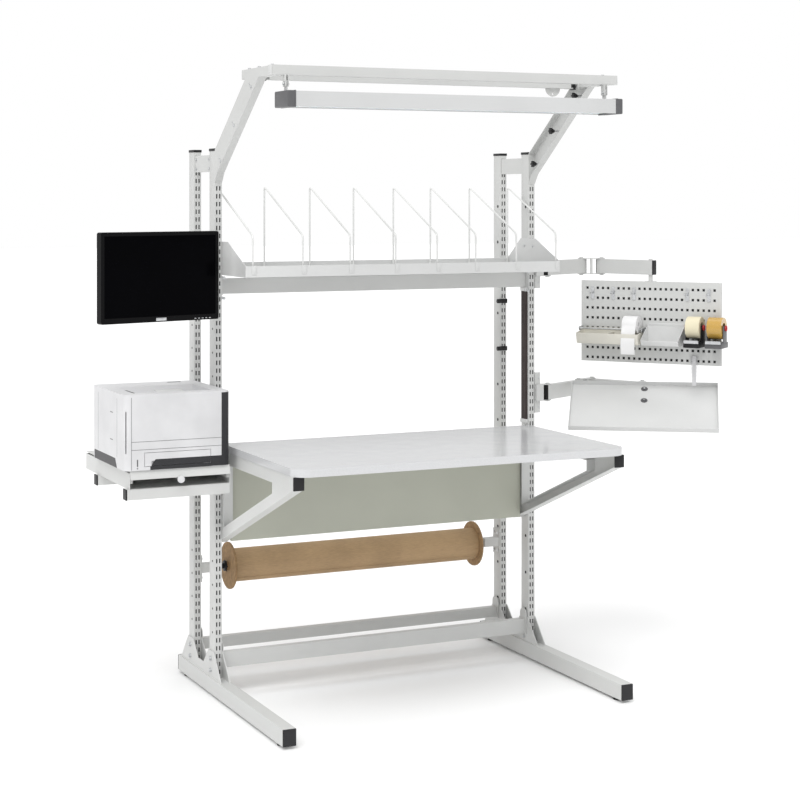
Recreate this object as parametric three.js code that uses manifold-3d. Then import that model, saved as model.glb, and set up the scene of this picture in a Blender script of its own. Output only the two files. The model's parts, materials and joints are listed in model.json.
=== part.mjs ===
import * as THREE from 'three';
import { mergeVertices } from 'three/addons/utils/BufferGeometryUtils.js';
import Module from 'manifold-3d';

// Packing workstation, millimetres. +X is to the right, +Y to the back, +Z up. It is built from a point on
// the floor midway between the side frames, and the whole is then moved to the middle of its base.

const wasm = await Module();
wasm.setup();

// Clearances.
const seat = 0.3; // between pieces that rest on or are bolted to each other
const pinPlay = 0.6; // radial, pin in its hole
const hingePlay = 1; // between a yoke plate and the tube it holds
const slidePlay = 1.5; // each side of a sliding tray

// Side frames.
const frameWidth = 1384; // outer face to outer face of the uprights
const uprightWidth = 30;
const uprightDepth = 60;
const uprightWall = 2;
const uprightPitch = 242; // front upright to rear upright
const uprightTop = 2065;
const footHeight = 10;
const footRadius = 20;
const footStem = 6;
const footInset = 60;
const legWidth = 50;
const legHeight = 60;
const legWall = 3;
const legFront = 728;
const legBehind = 103; // past the rear upright
const legRear = uprightPitch + uprightDepth + legBehind;
const legCapLip = 5;
const legCapPlug = 25;
const gussetThick = 4;
const gussetHeight = 100;
const gussetValley = 38;
const gussetRun = 85;
const tieHeight = 64;
const tieThick = 20;
const tieDrop = 15;

// Cross beams.
const beamHeight = 58;
const rearBeamHeight = 42;
const beamDepth = 30;
const beamWall = 2;
const beamBottom = 103;
const beamPlateHeight = 100;
const beamPlateThick = 4;
const beamPlateWidth = 50;

// Worktop and what carries it.
const worktopSideGap = 28; // worktop's end to the upright's outer face
const worktopWidth = frameWidth - 2 * worktopSideGap;
const worktopDepth = 755;
const worktopThick = 28;
const worktopTop = 957;
const worktopCorner = 60;
const worktopBackGap = 3;
const bracketWidth = 38;
const bracketWall = 2.5;
const bracketReach = 727;
const bracketBar = 46;
const bracketDiagonal = 42;
const bracketDrop = 289;
const bracketNose = 203;
const panelThick = 2;
const panelFold = 18;
const modestyHeight = 345;

// Upper shelf with its wire dividers.
const shelfFront = 256;
const shelfRear = 175;
const shelfFloor = 1594;
const shelfSheet = 2;
const shelfLip = 42;
const shelfEndHeight = 127;
const shelfEndFlat = 62;
const shelfBeamTop = 1580;
const dividerX = [-628, -430, -238, -49, 127, 294, 473, 652]; // each can be set anywhere along the shelf
const wireRadius = 3.5;
const dividerFrontHeight = 150;
const dividerRearHeight = 334;
const dividerInset = 14;
const dividerBend = 16;

// Paper roll.
const rollBehind = 20; // roll's axis past the rear uprights' front faces
const rollY = uprightPitch + rollBehind;
const rollZ = 437;
const rollLength = 1074;
const rollRadius = 65;
const rollBore = 38;
const flangeRadius = 92;
const flangeThick = 8;
const hubLength = 60;
const spindleRadius = 8;
const spindleReach = 40;
const rollBracketHeight = 104;
const rollBracketBar = 36;
const rollBracketReach = 72;

// Light canopy.
const canopySlope = 0.75; // rise over run
const canopyChannel = 85;
const canopyDepth = 30;
const canopyWall = 3;
const canopyFoot = 1943;
const canopyRailSize = 35;
const canopyRailWall = 2;
const canopyRailTop = 2350;
const canopyRailFront = 623;
const canopyRailOverhang = 7;
const canopyBarRear = 298;
const toolRailY = -391;
const toolRailInset = 66;
const toolRailSize = 30;
const toolLugThick = 4;
const lightLength = 1340;
const lightDepth = 127;
const lightHeight = 54;
const lightBottom = 2202;
const lightWall = 1.5;
const lightFront = 706;
const hangerSpread = 1292;
const hangerWidth = 14;
const hangerPinRadius = 5;
const hangerPinZ = 2284;
const trolleyX = 552;
const trolleyRadius = 32;

// Swing arms on the right, all from one kit.
const armPitch = 245;
const armHeight = 60;
const armWidth = 30;
const armWall = 2.5;
const armTail = 16;
const linkPitch = 86;
const armPinRadius = 6;
const yokePlate = 3;
const yokeWidth = 30;
const armStandOff = 60;
const armPlateHeight = 165;
const armPlateThick = 4;
const armPlateFold = 24;
const yokeRoot = 26; // pivot to the solid part of a yoke, more than a tube's end corner needs to turn
const headRadius = 9;
const headHeight = 4;
const upperArmZ = 1599;
const upperArmTurn = [25, -25, -66, -52];
const lowerArmZ = 1088;
const lowerArmTurn = [28, 18, -62.5, -34];
const boardWidth = 604;
const boardHeight = 337;
const boardTop = 1541;
const boardSheet = 2;
const boardFold = 16;
const trayWidth = 600;
const trayLength = 303;
const trayTilt = 31.5;
const trayWall = 20;
const traySheet = 2;
const trayBehind = 40;
const trayShift = 10; // tray's middle to the right of its pivot

// Monitor on its arm.
const screenWidth = 505;
const screenHeight = 325;
const screenThick = 28;
const screenBack = 22;
const screenZ = 1602;
const monitorArmLength = 310;
const monitorStandOff = 36;
const monitorArmHeight = 40;
const monitorPlateHeight = 110;
const monitorArmTurn = 210;
const monitorTurn = 16;
const monitorKnuckleBack = 46;

// Pull-out printer shelf.
const carrierWidth = 384;
const carrierFront = 177;
const carrierRear = 409;
const carrierBottom = 796;
const carrierWall = 2;
const carrierTop = 893;
const crossTubeHeight = 38;
const crossTubeDepth = 40;
const crossTubeFront = -155;
const crossTubeRear = 230;
const slideRailHeight = 30;
const slideRailDepth = 8;
const drawerTop = 902;
const drawerSheet = 2;
const drawerLip = 32;
const drawerLipRun = 12;

// Printer.
const printerGap = 3; // to the uprights
const printerWidth = 402;
const printerDepth = 425;
const printerHeight = 274;
const printerFront = 185;
const printerShell = 3;
const printerCorner = 24;
const cassetteWidth = 250;
const cassetteHeight = 48;
const cassetteDepth = 330;
const cassetteBase = 14;

const half = frameWidth / 2;
const legTop = footHeight + legHeight;
const innerFace = half - uprightWidth;
const rad = THREE.MathUtils.degToRad;

// ---------------------------------------------------------------- shapes

function outline(points) {
  return new THREE.Shape(points.map(([x, y]) => new THREE.Vector2(x, y)));
}

// A flat outline pushed along one axis. Outline coordinates are (y, z) for x, (x, z) for y, (x, y) for z.
function slab(shape, axis, from, to, curveSegments = 8) {
  const geometry = new THREE.ExtrudeGeometry(shape, { depth: to - from, bevelEnabled: false,
      curveSegments });
  const turn = new THREE.Matrix4();
  if (axis === 'x') turn.set(0, 0, 1, from, 1, 0, 0, 0, 0, 1, 0, 0, 0, 0, 0, 1);
  if (axis === 'y') turn.set(1, 0, 0, 0, 0, 0, -1, to, 0, 1, 0, 0, 0, 0, 0, 1);
  if (axis === 'z') turn.set(1, 0, 0, 0, 0, 1, 0, 0, 0, 0, 1, from, 0, 0, 0, 1);
  return geometry.applyMatrix4(turn);
}

function block([x0, x1], [y0, y1], [z0, z1]) {
  const box = new THREE.BoxGeometry(x1 - x0, y1 - y0, z1 - z0);
  return box.translate((x0 + x1) / 2, (y0 + y1) / 2, (z0 + z1) / 2);
}

function rod(axis, radius, [a, b, c], length, sides = 20) {
  const geometry = new THREE.CylinderGeometry(radius, radius, length, sides);
  if (axis === 'x') geometry.rotateZ(-Math.PI / 2);
  if (axis === 'z') geometry.rotateX(Math.PI / 2);
  return geometry.translate(a, b, c);
}

function roundedRectangle(x0, y0, x1, y1, radius) {
  const shape = new THREE.Shape();
  shape.moveTo(x0 + radius, y0);
  shape.lineTo(x1 - radius, y0);
  shape.absarc(x1 - radius, y0 + radius, radius, -Math.PI / 2, 0);
  shape.lineTo(x1, y1 - radius);
  shape.absarc(x1 - radius, y1 - radius, radius, 0, Math.PI / 2);
  shape.lineTo(x0 + radius, y1);
  shape.absarc(x0 + radius, y1 - radius, radius, Math.PI / 2, Math.PI);
  shape.lineTo(x0, y0 + radius);
  shape.absarc(x0 + radius, y0 + radius, radius, Math.PI, 1.5 * Math.PI);
  return shape;
}

// Moves every edge of an anticlockwise outline inwards by distance (outwards when it is negative).
function inset(points, distance) {
  const count = points.length;
  const normal = (i) => {
    const [ax, ay] = points[i % count];
    const [bx, by] = points[(i + 1) % count];
    const length = Math.hypot(bx - ax, by - ay);
    return [-(by - ay) / length, (bx - ax) / length];
  };
  return points.map(([x, y], i) => {
    const [px, py] = normal(i + count - 1);
    const [qx, qy] = normal(i);
    const scale = distance / (1 + px * qx + py * qy);
    return [x + (px + qx) * scale, y + (py + qy) * scale];
  });
}

function toSolid(geometry) {
  const plain = geometry.clone();
  plain.deleteAttribute('normal');
  plain.deleteAttribute('uv');
  const merged = mergeVertices(plain, 1e-3);
  const vertProperties = new Float32Array(merged.attributes.position.array);
  const triVerts = new Uint32Array(merged.index.array);
  return new wasm.Manifold(new wasm.Mesh({ numProp: 3, vertProperties, triVerts }));
}

function toGeometry(solid) {
  const mesh = solid.getMesh();
  const geometry = new THREE.BufferGeometry();
  geometry.setAttribute('position', new THREE.BufferAttribute(new Float32Array(mesh.vertProperties), 3));
  geometry.setIndex(new THREE.BufferAttribute(new Uint32Array(mesh.triVerts), 1));
  return geometry;
}

function join(...geometries) {
  const solids = geometries.map(toSolid);
  return toGeometry(solids.slice(1).reduce((sum, solid) => sum.add(solid), solids[0]));
}

function cut(geometry, ...tools) {
  return toGeometry(tools.map(toSolid).reduce((left, tool) => left.subtract(tool), toSolid(geometry)));
}

// A rectangular tube, open at both ends. The spans give its outer size.
function tube(axis, xSpan, ySpan, zSpan, wall) {
  const spans = { x: xSpan, y: ySpan, z: zSpan };
  const [u, v] = { x: ['y', 'z'], y: ['x', 'z'], z: ['x', 'y'] }[axis];
  const corners = ([a0, a1], [b0, b1]) => [[a0, b0], [a1, b0], [a1, b1], [a0, b1]];
  const shape = outline(corners(spans[u], spans[v]));
  shape.holes.push(outline(inset(corners(spans[u], spans[v]), wall)));
  return slab(shape, axis, ...spans[axis]);
}

// A sheet channel in the (y, z) plane: a web on side x0 with flanges along every edge up to side x1.
function channel(points, openings, wall, x0, x1) {
  const full = outline(points);
  const hollow = outline(inset(points, wall));
  for (const opening of openings) {
    full.holes.push(outline(opening));
    hollow.holes.push(outline(inset(opening, -wall)));
  }
  const inward = Math.sign(x1 - x0);
  const body = slab(full, 'x', Math.min(x0, x1), Math.max(x0, x1));
  const from = x0 + inward * wall;
  const to = x1 + inward * 5;
  return cut(body, slab(hollow, 'x', Math.min(from, to), Math.max(from, to)));
}

const finishes = {
  frame: [0xd4d5d3, 0.45, 0.1],
  panel: [0xabaca0, 0.5, 0.1],
  laminate: [0xe2e2e4, 0.25, 0],
  darkPlastic: [0x403e3f, 0.6, 0],
  zinc: [0xb9bbbd, 0.35, 0.9],
  wire: [0xe4e4e2, 0.35, 0.1],
  board: [0xc29a66, 0.8, 0],
  kraft: [0xb58f5f, 0.9, 0],
  lamp: [0xcdcecd, 0.35, 0.2],
  screen: [0x08080a, 0.15, 0],
  printerWhite: [0xe9e9ea, 0.5, 0],
};

function part(name, geometry, finish) {
  const [color, roughness, metalness] = finishes[finish];
  const mesh = new THREE.Mesh(geometry, new THREE.MeshStandardMaterial({ color, roughness, metalness }));
  mesh.name = name;
  return mesh;
}

// ---------------------------------------------------------------- side frames

function leg(side) {
  const x0 = side * (half - uprightWidth / 2) - legWidth / 2;
  const middle = x0 + legWidth / 2;
  const bar = tube('y', [x0, x0 + legWidth], [-legFront, legRear], [footHeight, legTop], legWall);
  const rear = uprightPitch + uprightDepth;
  const gusset = outline([
    [-gussetRun, legTop - 1],
    [rear + gussetRun, legTop - 1],
    [rear, legTop + gussetHeight],
    [uprightPitch, legTop + gussetHeight],
    [uprightPitch - uprightDepth, legTop + gussetValley],
    [2 * uprightDepth, legTop + gussetValley],
    [uprightDepth, legTop + gussetHeight],
    [0, legTop + gussetHeight],
  ]);
  const offset = uprightWidth / 2 + seat;
  const plates = [-1, 1].map((face) => {
    const near = middle + face * offset;
    const far = near + face * gussetThick;
    return slab(gusset, 'x', Math.min(near, far), Math.max(near, far));
  });
  const holes = [-legFront + footInset, legRear - footInset].map((y) =>
    rod('z', footStem + pinPlay, [middle, y, footHeight], 4 * legWall, 16));
  return cut(join(bar, ...plates), ...holes);
}

function legCap(side, front) {
  const middle = side * (half - uprightWidth / 2);
  const end = front ? -legFront : legRear;
  const out = front ? -1 : 1;
  const span = (from, to) => [Math.min(end + out * from, end + out * to), Math.max(end + out * from,
      end + out * to)];
  const plug = legWidth / 2 - legWall - seat;
  const head = block([middle - legWidth / 2, middle + legWidth / 2], span(seat, legCapLip), [footHeight,
      legTop]);
  const core = block([middle - plug, middle + plug], span(-legCapPlug, legCapLip), [
    footHeight + legWall + seat,
    legTop - legWall - seat,
  ]);
  return join(head, core);
}

function levellingFoot(side, front) {
  const middle = side * (half - uprightWidth / 2);
  const y = front ? -legFront + footInset : legRear - footInset;
  const pad = new THREE.CylinderGeometry(footRadius * 0.8, footRadius, footHeight - 2, 24);
  pad.rotateX(Math.PI / 2).translate(middle, y, (footHeight - 2) / 2);
  const stemTop = footHeight + legWall + 12;
  return join(pad, rod('z', footStem, [middle, y, (footHeight / 2 + stemTop) / 2],
      stemTop - footHeight / 2, 16));
}

function upright(side, y) {
  const x0 = side * (half - uprightWidth / 2) - uprightWidth / 2;
  return tube('z', [x0, x0 + uprightWidth], [y, y + uprightDepth], [legTop + seat, uprightTop],
      uprightWall);
}

function topTie(side) {
  const middle = side * (half - uprightWidth / 2);
  const ySpan = [uprightDepth + seat, uprightPitch - seat];
  const top = uprightTop - tieDrop;
  return tube('y', [middle - tieThick / 2, middle + tieThick / 2], ySpan, [top - tieHeight, top],
      uprightWall);
}

// A tube between the two side frames with a bolting plate, round at the top, at each end.
function crossBeam(frameY, bottom, height, plateHeight, reach, corner) {
  const y = frameY + (uprightDepth - beamDepth) / 2;
  const bar = tube('x', [1 - reach, reach - 1], [y, y + beamDepth], [bottom, bottom + height],
      beamWall);
  const hollow = block(
    [-reach - 1, reach + 1],
    [y + beamWall, y + beamDepth - beamWall],
    [bottom + beamWall, bottom + height - beamWall],
  );
  const margin = (beamPlateWidth - beamDepth) / 2;
  const y0 = y - margin;
  const y1 = y0 + beamPlateWidth;
  const shoulder = bottom + plateHeight - corner;
  const plate = new THREE.Shape();
  plate.moveTo(y0, bottom - beamPlateThick);
  plate.lineTo(y1, bottom - beamPlateThick);
  plate.lineTo(y1, shoulder);
  plate.absarc(y1 - corner, shoulder, corner, 0, Math.PI / 2);
  plate.lineTo(y0 + corner, shoulder + corner);
  plate.absarc(y0 + corner, shoulder, corner, Math.PI / 2, Math.PI);
  const ends = [-1, 1].map((side) => {
    const inner = side * (reach - beamPlateThick);
    return slab(plate, 'x', Math.min(inner, side * reach), Math.max(inner, side * reach));
  });
  return cut(join(bar, ...ends), hollow);
}

// ---------------------------------------------------------------- worktop

const worktopUnder = worktopTop - worktopThick;

function worktop() {
  const x = worktopWidth / 2;
  const back = -worktopBackGap;
  const front = back - worktopDepth;
  const shape = new THREE.Shape();
  shape.moveTo(x, back);
  shape.lineTo(-x, back);
  shape.lineTo(-x, front + worktopCorner);
  shape.absarc(-x + worktopCorner, front + worktopCorner, worktopCorner, Math.PI, 1.5 * Math.PI);
  shape.lineTo(x - worktopCorner, front);
  shape.absarc(x - worktopCorner, front + worktopCorner, worktopCorner, -Math.PI / 2, 0);
  return slab(shape, 'z', worktopUnder, worktopTop, 10);
}

// A triangular channel bolted to the inner face of a front upright, open towards the middle.
function worktopBracket(side) {
  const top = worktopUnder - seat;
  const back = uprightDepth - 4;
  const bottom = top - bracketBar;
  const slope = bracketDrop / bracketReach;
  const nose = -bracketReach + bracketNose;
  const edge = (y) => bottom - (y + bracketReach) * slope;
  const frame = [
    [-bracketReach, top],
    [-bracketReach, bottom],
    [back, edge(back)],
    [back, top],
  ];
  const gap = [
    [nose, bottom],
    [nose, edge(nose) + bracketDiagonal],
    [-bracketDiagonal / 3, edge(-bracketDiagonal / 3) + bracketDiagonal],
    [-bracketDiagonal / 3, bottom],
  ];
  const outer = side * (innerFace - seat);
  return channel(frame, [gap], bracketWall, outer, outer - side * bracketWidth);
}

function modestyPanel() {
  const reach = innerFace - bracketWidth - 2 * seat;
  const top = worktopUnder - seat;
  const sheet = block([-reach, reach], [0, panelThick], [top - modestyHeight, top]);
  const folds = [-1, 1].map((side) => {
    const a = side * reach;
    const b = side * (reach - panelThick);
    return block([Math.min(a, b), Math.max(a, b)], [0, panelFold], [top - modestyHeight, top]);
  });
  const shelf = block([-reach, reach], [0, panelFold], [top - modestyHeight,
      top - modestyHeight + panelThick]);
  return join(sheet, ...folds, shelf);
}

// ---------------------------------------------------------------- upper shelf

function upperShelf() {
  const reach = innerFace - seat;
  const low = shelfFloor;
  const lip = shelfFloor + shelfLip;
  const floor = block([-reach, reach], [-shelfFront, shelfRear], [low, low + shelfSheet]);
  const front = block([-reach, reach], [-shelfFront, -shelfFront + shelfSheet], [low, lip]);
  const rear = block([-reach, reach], [shelfRear - shelfSheet, shelfRear], [low, lip]);
  const profile = outline([
    [-shelfFront, low],
    [shelfRear, low],
    [shelfRear, lip],
    [uprightDepth, low + shelfEndHeight],
    [-shelfEndFlat, low + shelfEndHeight],
    [-shelfFront, lip],
  ]);
  const ends = [-1, 1].map((side) => {
    const a = side * reach;
    const b = side * (reach - shelfSheet);
    return slab(profile, 'x', Math.min(a, b), Math.max(a, b));
  });
  return join(floor, front, rear, ...ends);
}

// A bent wire: straight runs and short bends, with one station at every corner of the polyline.
class BentWire extends THREE.Curve {
  constructor(stations) {
    super();
    this.stations = stations;
  }

  getPoint(t, target = new THREE.Vector3()) {
    const place = Math.min(t, 1) * (this.stations.length - 1);
    const i = Math.min(Math.floor(place), this.stations.length - 2);
    return target.lerpVectors(this.stations[i], this.stations[i + 1], place - i);
  }

  getPointAt(u, target) {
    return this.getPoint(u, target);
  }

  getTangentAt(u, target = new THREE.Vector3()) {
    const last = this.stations.length - 1;
    const i = Math.round(u * last);
    const here = this.stations[i];
    target.set(0, 0, 0);
    if (i > 0) target.add(here.clone().sub(this.stations[i - 1]).normalize());
    if (i < last) target.add(this.stations[i + 1].clone().sub(here).normalize());
    return target.normalize();
  }
}

function wireDivider(x) {
  const low = shelfFloor + shelfSheet + seat;
  const front = -shelfFront + dividerInset;
  const rear = shelfRear - dividerInset;
  const corners = [
    [front, low],
    [front, low + dividerFrontHeight],
    [rear, low + dividerRearHeight],
    [rear, low],
  ].map(([y, z]) => new THREE.Vector3(x, y, z));
  const stations = [corners[0]];
  for (let i = 1; i < corners.length - 1; i += 1) {
    const bend = corners[i];
    const before = bend.clone().add(corners[i - 1].clone().sub(bend).setLength(dividerBend));
    const after = bend.clone().add(corners[i + 1].clone().sub(bend).setLength(dividerBend));
    const curve = new THREE.QuadraticBezierCurve3(before, bend, after);
    stations.push(...curve.getPoints(3));
  }
  stations.push(corners[corners.length - 1]);
  const sides = 6;
  const ring = Array.from({ length: sides }, (_, i) => {
    const angle = (2 * Math.PI * i) / sides;
    return [wireRadius * Math.cos(angle), wireRadius * Math.sin(angle)];
  });
  const settings = { steps: stations.length - 1, bevelEnabled: false,
      extrudePath: new BentWire(stations) };
  return new THREE.ExtrudeGeometry(outline(ring), settings);
}

// ---------------------------------------------------------------- paper roll

function annulus(outer, inner) {
  const shape = new THREE.Shape().absarc(0, 0, outer, 0, 2 * Math.PI);
  shape.holes.push(new THREE.Path().absarc(0, 0, inner, 0, 2 * Math.PI, true));
  return shape;
}

function paperRoll() {
  const geometry = slab(annulus(rollRadius, rollBore), 'x', -rollLength / 2, rollLength / 2, 28);
  return geometry.translate(0, rollY, rollZ);
}

// A disc with a plug in the roll's bore and a collar outside, turning on the bracket's spindle.
function rollFlange(side) {
  const hole = spindleRadius + pinPlay;
  const plug = rollBore - seat * 2;
  const profile = [
    [hole, -hubLength],
    [plug, -hubLength],
    [plug, 0],
    [flangeRadius, 0],
    [flangeRadius, flangeThick],
    [2.2 * spindleRadius, flangeThick],
    [2.2 * spindleRadius, 2 * flangeThick],
    [hole, 2 * flangeThick],
    [hole, -hubLength],
  ].map(([r, x]) => new THREE.Vector2(r, x));
  const geometry = new THREE.LatheGeometry(profile, 28);
  geometry.rotateZ(side > 0 ? -Math.PI / 2 : Math.PI / 2);
  return geometry.translate(side * (rollLength / 2 + seat), rollY, rollZ);
}

function rollBracket(side) {
  const face = innerFace - seat;
  const barEnd = innerFace - rollBracketReach;
  const span = (a, b) => (side > 0 ? [a, b] : [-b, -a]);
  const plateY = [uprightPitch + 2, uprightPitch + uprightDepth - 2];
  const plate = block(span(face - gussetThick, face), plateY, [
    rollZ - rollBracketHeight / 2,
    rollZ + rollBracketHeight / 2,
  ]);
  const bar = block(
    span(barEnd, face - 1),
    [rollY - rollBracketBar / 2 + 3, rollY + rollBracketBar / 2 - 3],
    [rollZ - rollBracketBar / 2, rollZ + rollBracketBar / 2],
  );
  const pinFrom = rollLength / 2 - spindleReach;
  const pinTo = barEnd + 5;
  const pin = rod('x', spindleRadius, [side * (pinFrom + pinTo) / 2, rollY, rollZ], pinTo - pinFrom, 16);
  return join(plate, bar, pin);
}

// ---------------------------------------------------------------- light canopy

const canopyRailBottom = canopyRailTop - canopyRailSize;
const canopyRailBack = canopyRailFront - canopyRailSize;

// A sloping channel from the front of the upright up to a short bar that carries the rails.
function canopyArm(side) {
  const rise = canopyChannel * Math.hypot(1, canopySlope);
  const lower = canopyFoot + canopyDepth * 0.6;
  const top = canopyRailBottom + 1;
  const toe = canopyDepth;
  const profile = [
    [-seat, canopyFoot],
    [-seat, lower + rise],
    [-(top - lower - rise) / canopySlope, top],
    [-(top - lower) / canopySlope, top],
    [-toe, lower + toe * canopySlope],
  ];
  const strut = channel(profile, [], canopyWall, side * half, side * (half - canopyDepth));
  const xSpan = side > 0 ? [half - canopyRailSize, half] : [-half, canopyRailSize - half];
  const bar = tube('y', xSpan, [seat - canopyRailBack, -canopyBarRear], [canopyRailBottom,
      canopyRailTop], canopyRailWall);
  return join(strut, bar);
}

const hangerPinY = -canopyRailFront + 5;
const lightTop = lightBottom + lightHeight;

function frontRail() {
  const reach = half + canopyRailOverhang;
  const ySpan = [-canopyRailFront, -canopyRailBack];
  const rail = tube('x', [-reach, reach], ySpan, [canopyRailBottom, canopyRailTop], canopyRailWall);
  const pieces = [rail];
  for (const side of [-1, 1]) {
    const x = (side * hangerSpread) / 2;
    const width = hangerWidth;
    const y = [hangerPinY - width, hangerPinY + width];
    for (const cheek of [-1, 1]) {
      const inner = x + cheek * (2 + hingePlay);
      const outer = x + cheek * (5 + hingePlay);
      const xSpan = [Math.min(inner, outer), Math.max(inner, outer)];
      pieces.push(block(xSpan, [y[0], -canopyRailBack - 4], [canopyRailBottom - 4,
          canopyRailBottom + 0.5]));
      pieces.push(block(xSpan, y, [hangerPinZ - width * 0.7, canopyRailBottom - 3]));
    }
    pieces.push(block([x - 6, x + 6], [-canopyRailFront + 4, -canopyRailBack - 4], [
      canopyRailBottom - 4,
      canopyRailBottom + 0.5,
    ]));
    pieces.push(rod('x', hangerPinRadius, [x, hangerPinY, hangerPinZ], 20, 16));
  }
  return join(...pieces);
}

// The rear rail is a C section, open below, with a bolting plate at each end.
function toolRail() {
  const y0 = toolRailY - toolRailSize / 2;
  const y1 = toolRailY + toolRailSize / 2;
  const z0 = canopyRailBottom - toolLugThick;
  const z1 = z0 + toolRailSize;
  const slot = 5;
  const wall = canopyRailWall;
  const reach = half - toolRailInset;
  const section = outline([
    [y0, z0],
    [toolRailY - slot, z0],
    [toolRailY - slot, z0 + wall],
    [y0 + wall, z0 + wall],
    [y0 + wall, z1 - wall],
    [y1 - wall, z1 - wall],
    [y1 - wall, z0 + wall],
    [toolRailY + slot, z0 + wall],
    [toolRailY + slot, z0],
    [y1, z0],
    [y1, z1],
    [y0, z1],
  ]);
  const pieces = [slab(section, 'x', -reach, reach)];
  const face = half - canopyRailSize - seat;
  for (const side of [-1, 1]) {
    const span = (a, b) => (side > 0 ? [a, b] : [-b, -a]);
    pieces.push(block(span(reach - 6, face), [y0 + 5, y1 - 5], [z0, z0 + toolLugThick]));
    pieces.push(block(span(face - toolLugThick, face), [y0 - 5, y1 + 5], [z0, z1]));
  }
  return join(...pieces);
}

// A half-round tool hanger whose head runs inside the tool rail.
function toolTrolley() {
  const z0 = canopyRailBottom - toolLugThick;
  const wall = canopyRailWall;
  const play = seat;
  const disc = new THREE.Shape().absarc(0, 0, trolleyRadius, Math.PI, 2 * Math.PI);
  disc.holes.push(new THREE.Path().absarc(0, -trolleyRadius * 0.7, 4, 0, 2 * Math.PI, true));
  const plate = slab(disc, 'y', toolRailY - 2, toolRailY + 2).translate(trolleyX, 0, z0 - play);
  const neck = block([trolleyX - 14, trolleyX + 14], [toolRailY - 2, toolRailY + 2], [z0 - play - 4,
      z0 + wall + 4]);
  const head = block([trolleyX - 18, trolleyX + 18], [toolRailY - 10, toolRailY + 10], [
    z0 + wall + play,
    z0 + wall + play + 5,
  ]);
  return join(plate, neck, head);
}

function lightFixture() {
  const x = lightLength / 2;
  const y = [-lightFront, -lightFront + lightDepth];
  const shell = block([-x, x], y, [lightBottom, lightTop]);
  const inside = block([-x + 4, x - 4], [y[0] + lightWall, y[1] - lightWall], [lightBottom - 5,
      lightTop - lightWall]);
  const lugs = [-1, 1].map((side) => {
    const middle = (side * hangerSpread) / 2;
    return block([middle - 2, middle + 2], [hangerPinY - 12, hangerPinY + 12], [lightTop - 1,
        hangerPinZ + 12]);
  });
  const holes = [-1, 1].map((side) =>
    rod('x', hangerPinRadius + pinPlay, [(side * hangerSpread) / 2, hangerPinY, hangerPinZ], 12, 16));
  return cut(join(cut(shell, inside), ...lugs), ...holes);
}

// ---------------------------------------------------------------- swing arms

// Everything below is drawn about its own pivot, with the arm's middle height at zero and the arm along
// +X.

function armTube(pitch, height) {
  const bar = tube('x', [-armTail, pitch + armTail], [-armWidth / 2, armWidth / 2], [-height / 2,
      height / 2], armWall);
  const holes = [0, pitch].map((x) => rod('z', armPinRadius + pinPlay, [x, 0, 0], height + 10, 16));
  return cut(bar, ...holes);
}

function pinWithHeads(x, height) {
  const reach = height / 2 + hingePlay + yokePlate;
  return join(
    rod('z', armPinRadius, [x, 0, 0], 2 * reach, 16),
    rod('z', headRadius, [x, 0, reach + headHeight / 2 - 0.5], headHeight + 1, 6),
    rod('z', headRadius, [x, 0, -reach - headHeight / 2 + 0.5], headHeight + 1, 6),
  );
}

// The two plates of a yoke, from one x to another with round ends at the pivots asked for.
function yokePlates(x0, x1, height, roundStart) {
  const r = yokeWidth / 2;
  const shape = new THREE.Shape();
  shape.moveTo(x0, -r);
  shape.lineTo(x1, -r);
  shape.absarc(x1, 0, r, -Math.PI / 2, Math.PI / 2);
  shape.lineTo(x0, r);
  if (roundStart) shape.absarc(x0, 0, r, Math.PI / 2, 1.5 * Math.PI);
  const near = height / 2 + hingePlay;
  return [slab(shape, 'z', near, near + yokePlate, 10), slab(shape, 'z', -near - yokePlate, -near, 10)];
}

function armLink(pitch, height) {
  const reach = height / 2 + hingePlay + yokePlate;
  const middle = pitch / 2;
  const web = block([middle - 4, middle + 4], [-yokeWidth / 2, yokeWidth / 2], [-reach, reach]);
  return join(...yokePlates(0, pitch, height, true), web, pinWithHeads(0, height), pinWithHeads(pitch,
      height));
}

// A wall bracket with its pivot standOff away from the upright: a plate, a fold on its edge at foldY and
// a yoke.
function armBracket(standOff, height, plateHeight, [y0, y1], foldY) {
  const face = -standOff + seat;
  const reach = height / 2 + hingePlay + yokePlate;
  const top = plateHeight / 2;
  const plate = block([face, face + armPlateThick], [y0, y1], [-top, top]);
  const fold = block([face, face + armPlateFold], [foldY - armPlateThick / 2,
      foldY + armPlateThick / 2], [-top, top]);
  const web = block([face, -yokeRoot], [-yokeWidth / 2, yokeWidth / 2], [-reach, reach]);
  const plates = yokePlates(-yokeRoot - 4, 0, height, false);
  return join(plate, fold, web, ...plates, pinWithHeads(0, height));
}

// A folded board that hangs under the end of the upper arm.
function tackBoard() {
  const top = boardTop - upperArmZ;
  const low = top - boardHeight;
  const x = boardWidth / 2;
  const back = boardFold / 2;
  const pan = block([-x, x], [-back, back], [low, top]);
  const hollow = block([-x + boardSheet, x - boardSheet], [-back + boardSheet, back + 5], [
    low + boardSheet,
    top - boardSheet,
  ]);
  const near = armHeight / 2 + hingePlay;
  const post = rod('z', armPinRadius, [0, 0, (near + top) / 2], near - top + 2, 16);
  const collar = rod('z', headRadius, [0, 0, (top - near) / 2 - 0.5], -near - top + 1, 16);
  const cap = rod('z', headRadius, [0, 0, near + headHeight / 2], headHeight, 6);
  return join(cut(pan, hollow), post, collar, cap);
}

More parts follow.
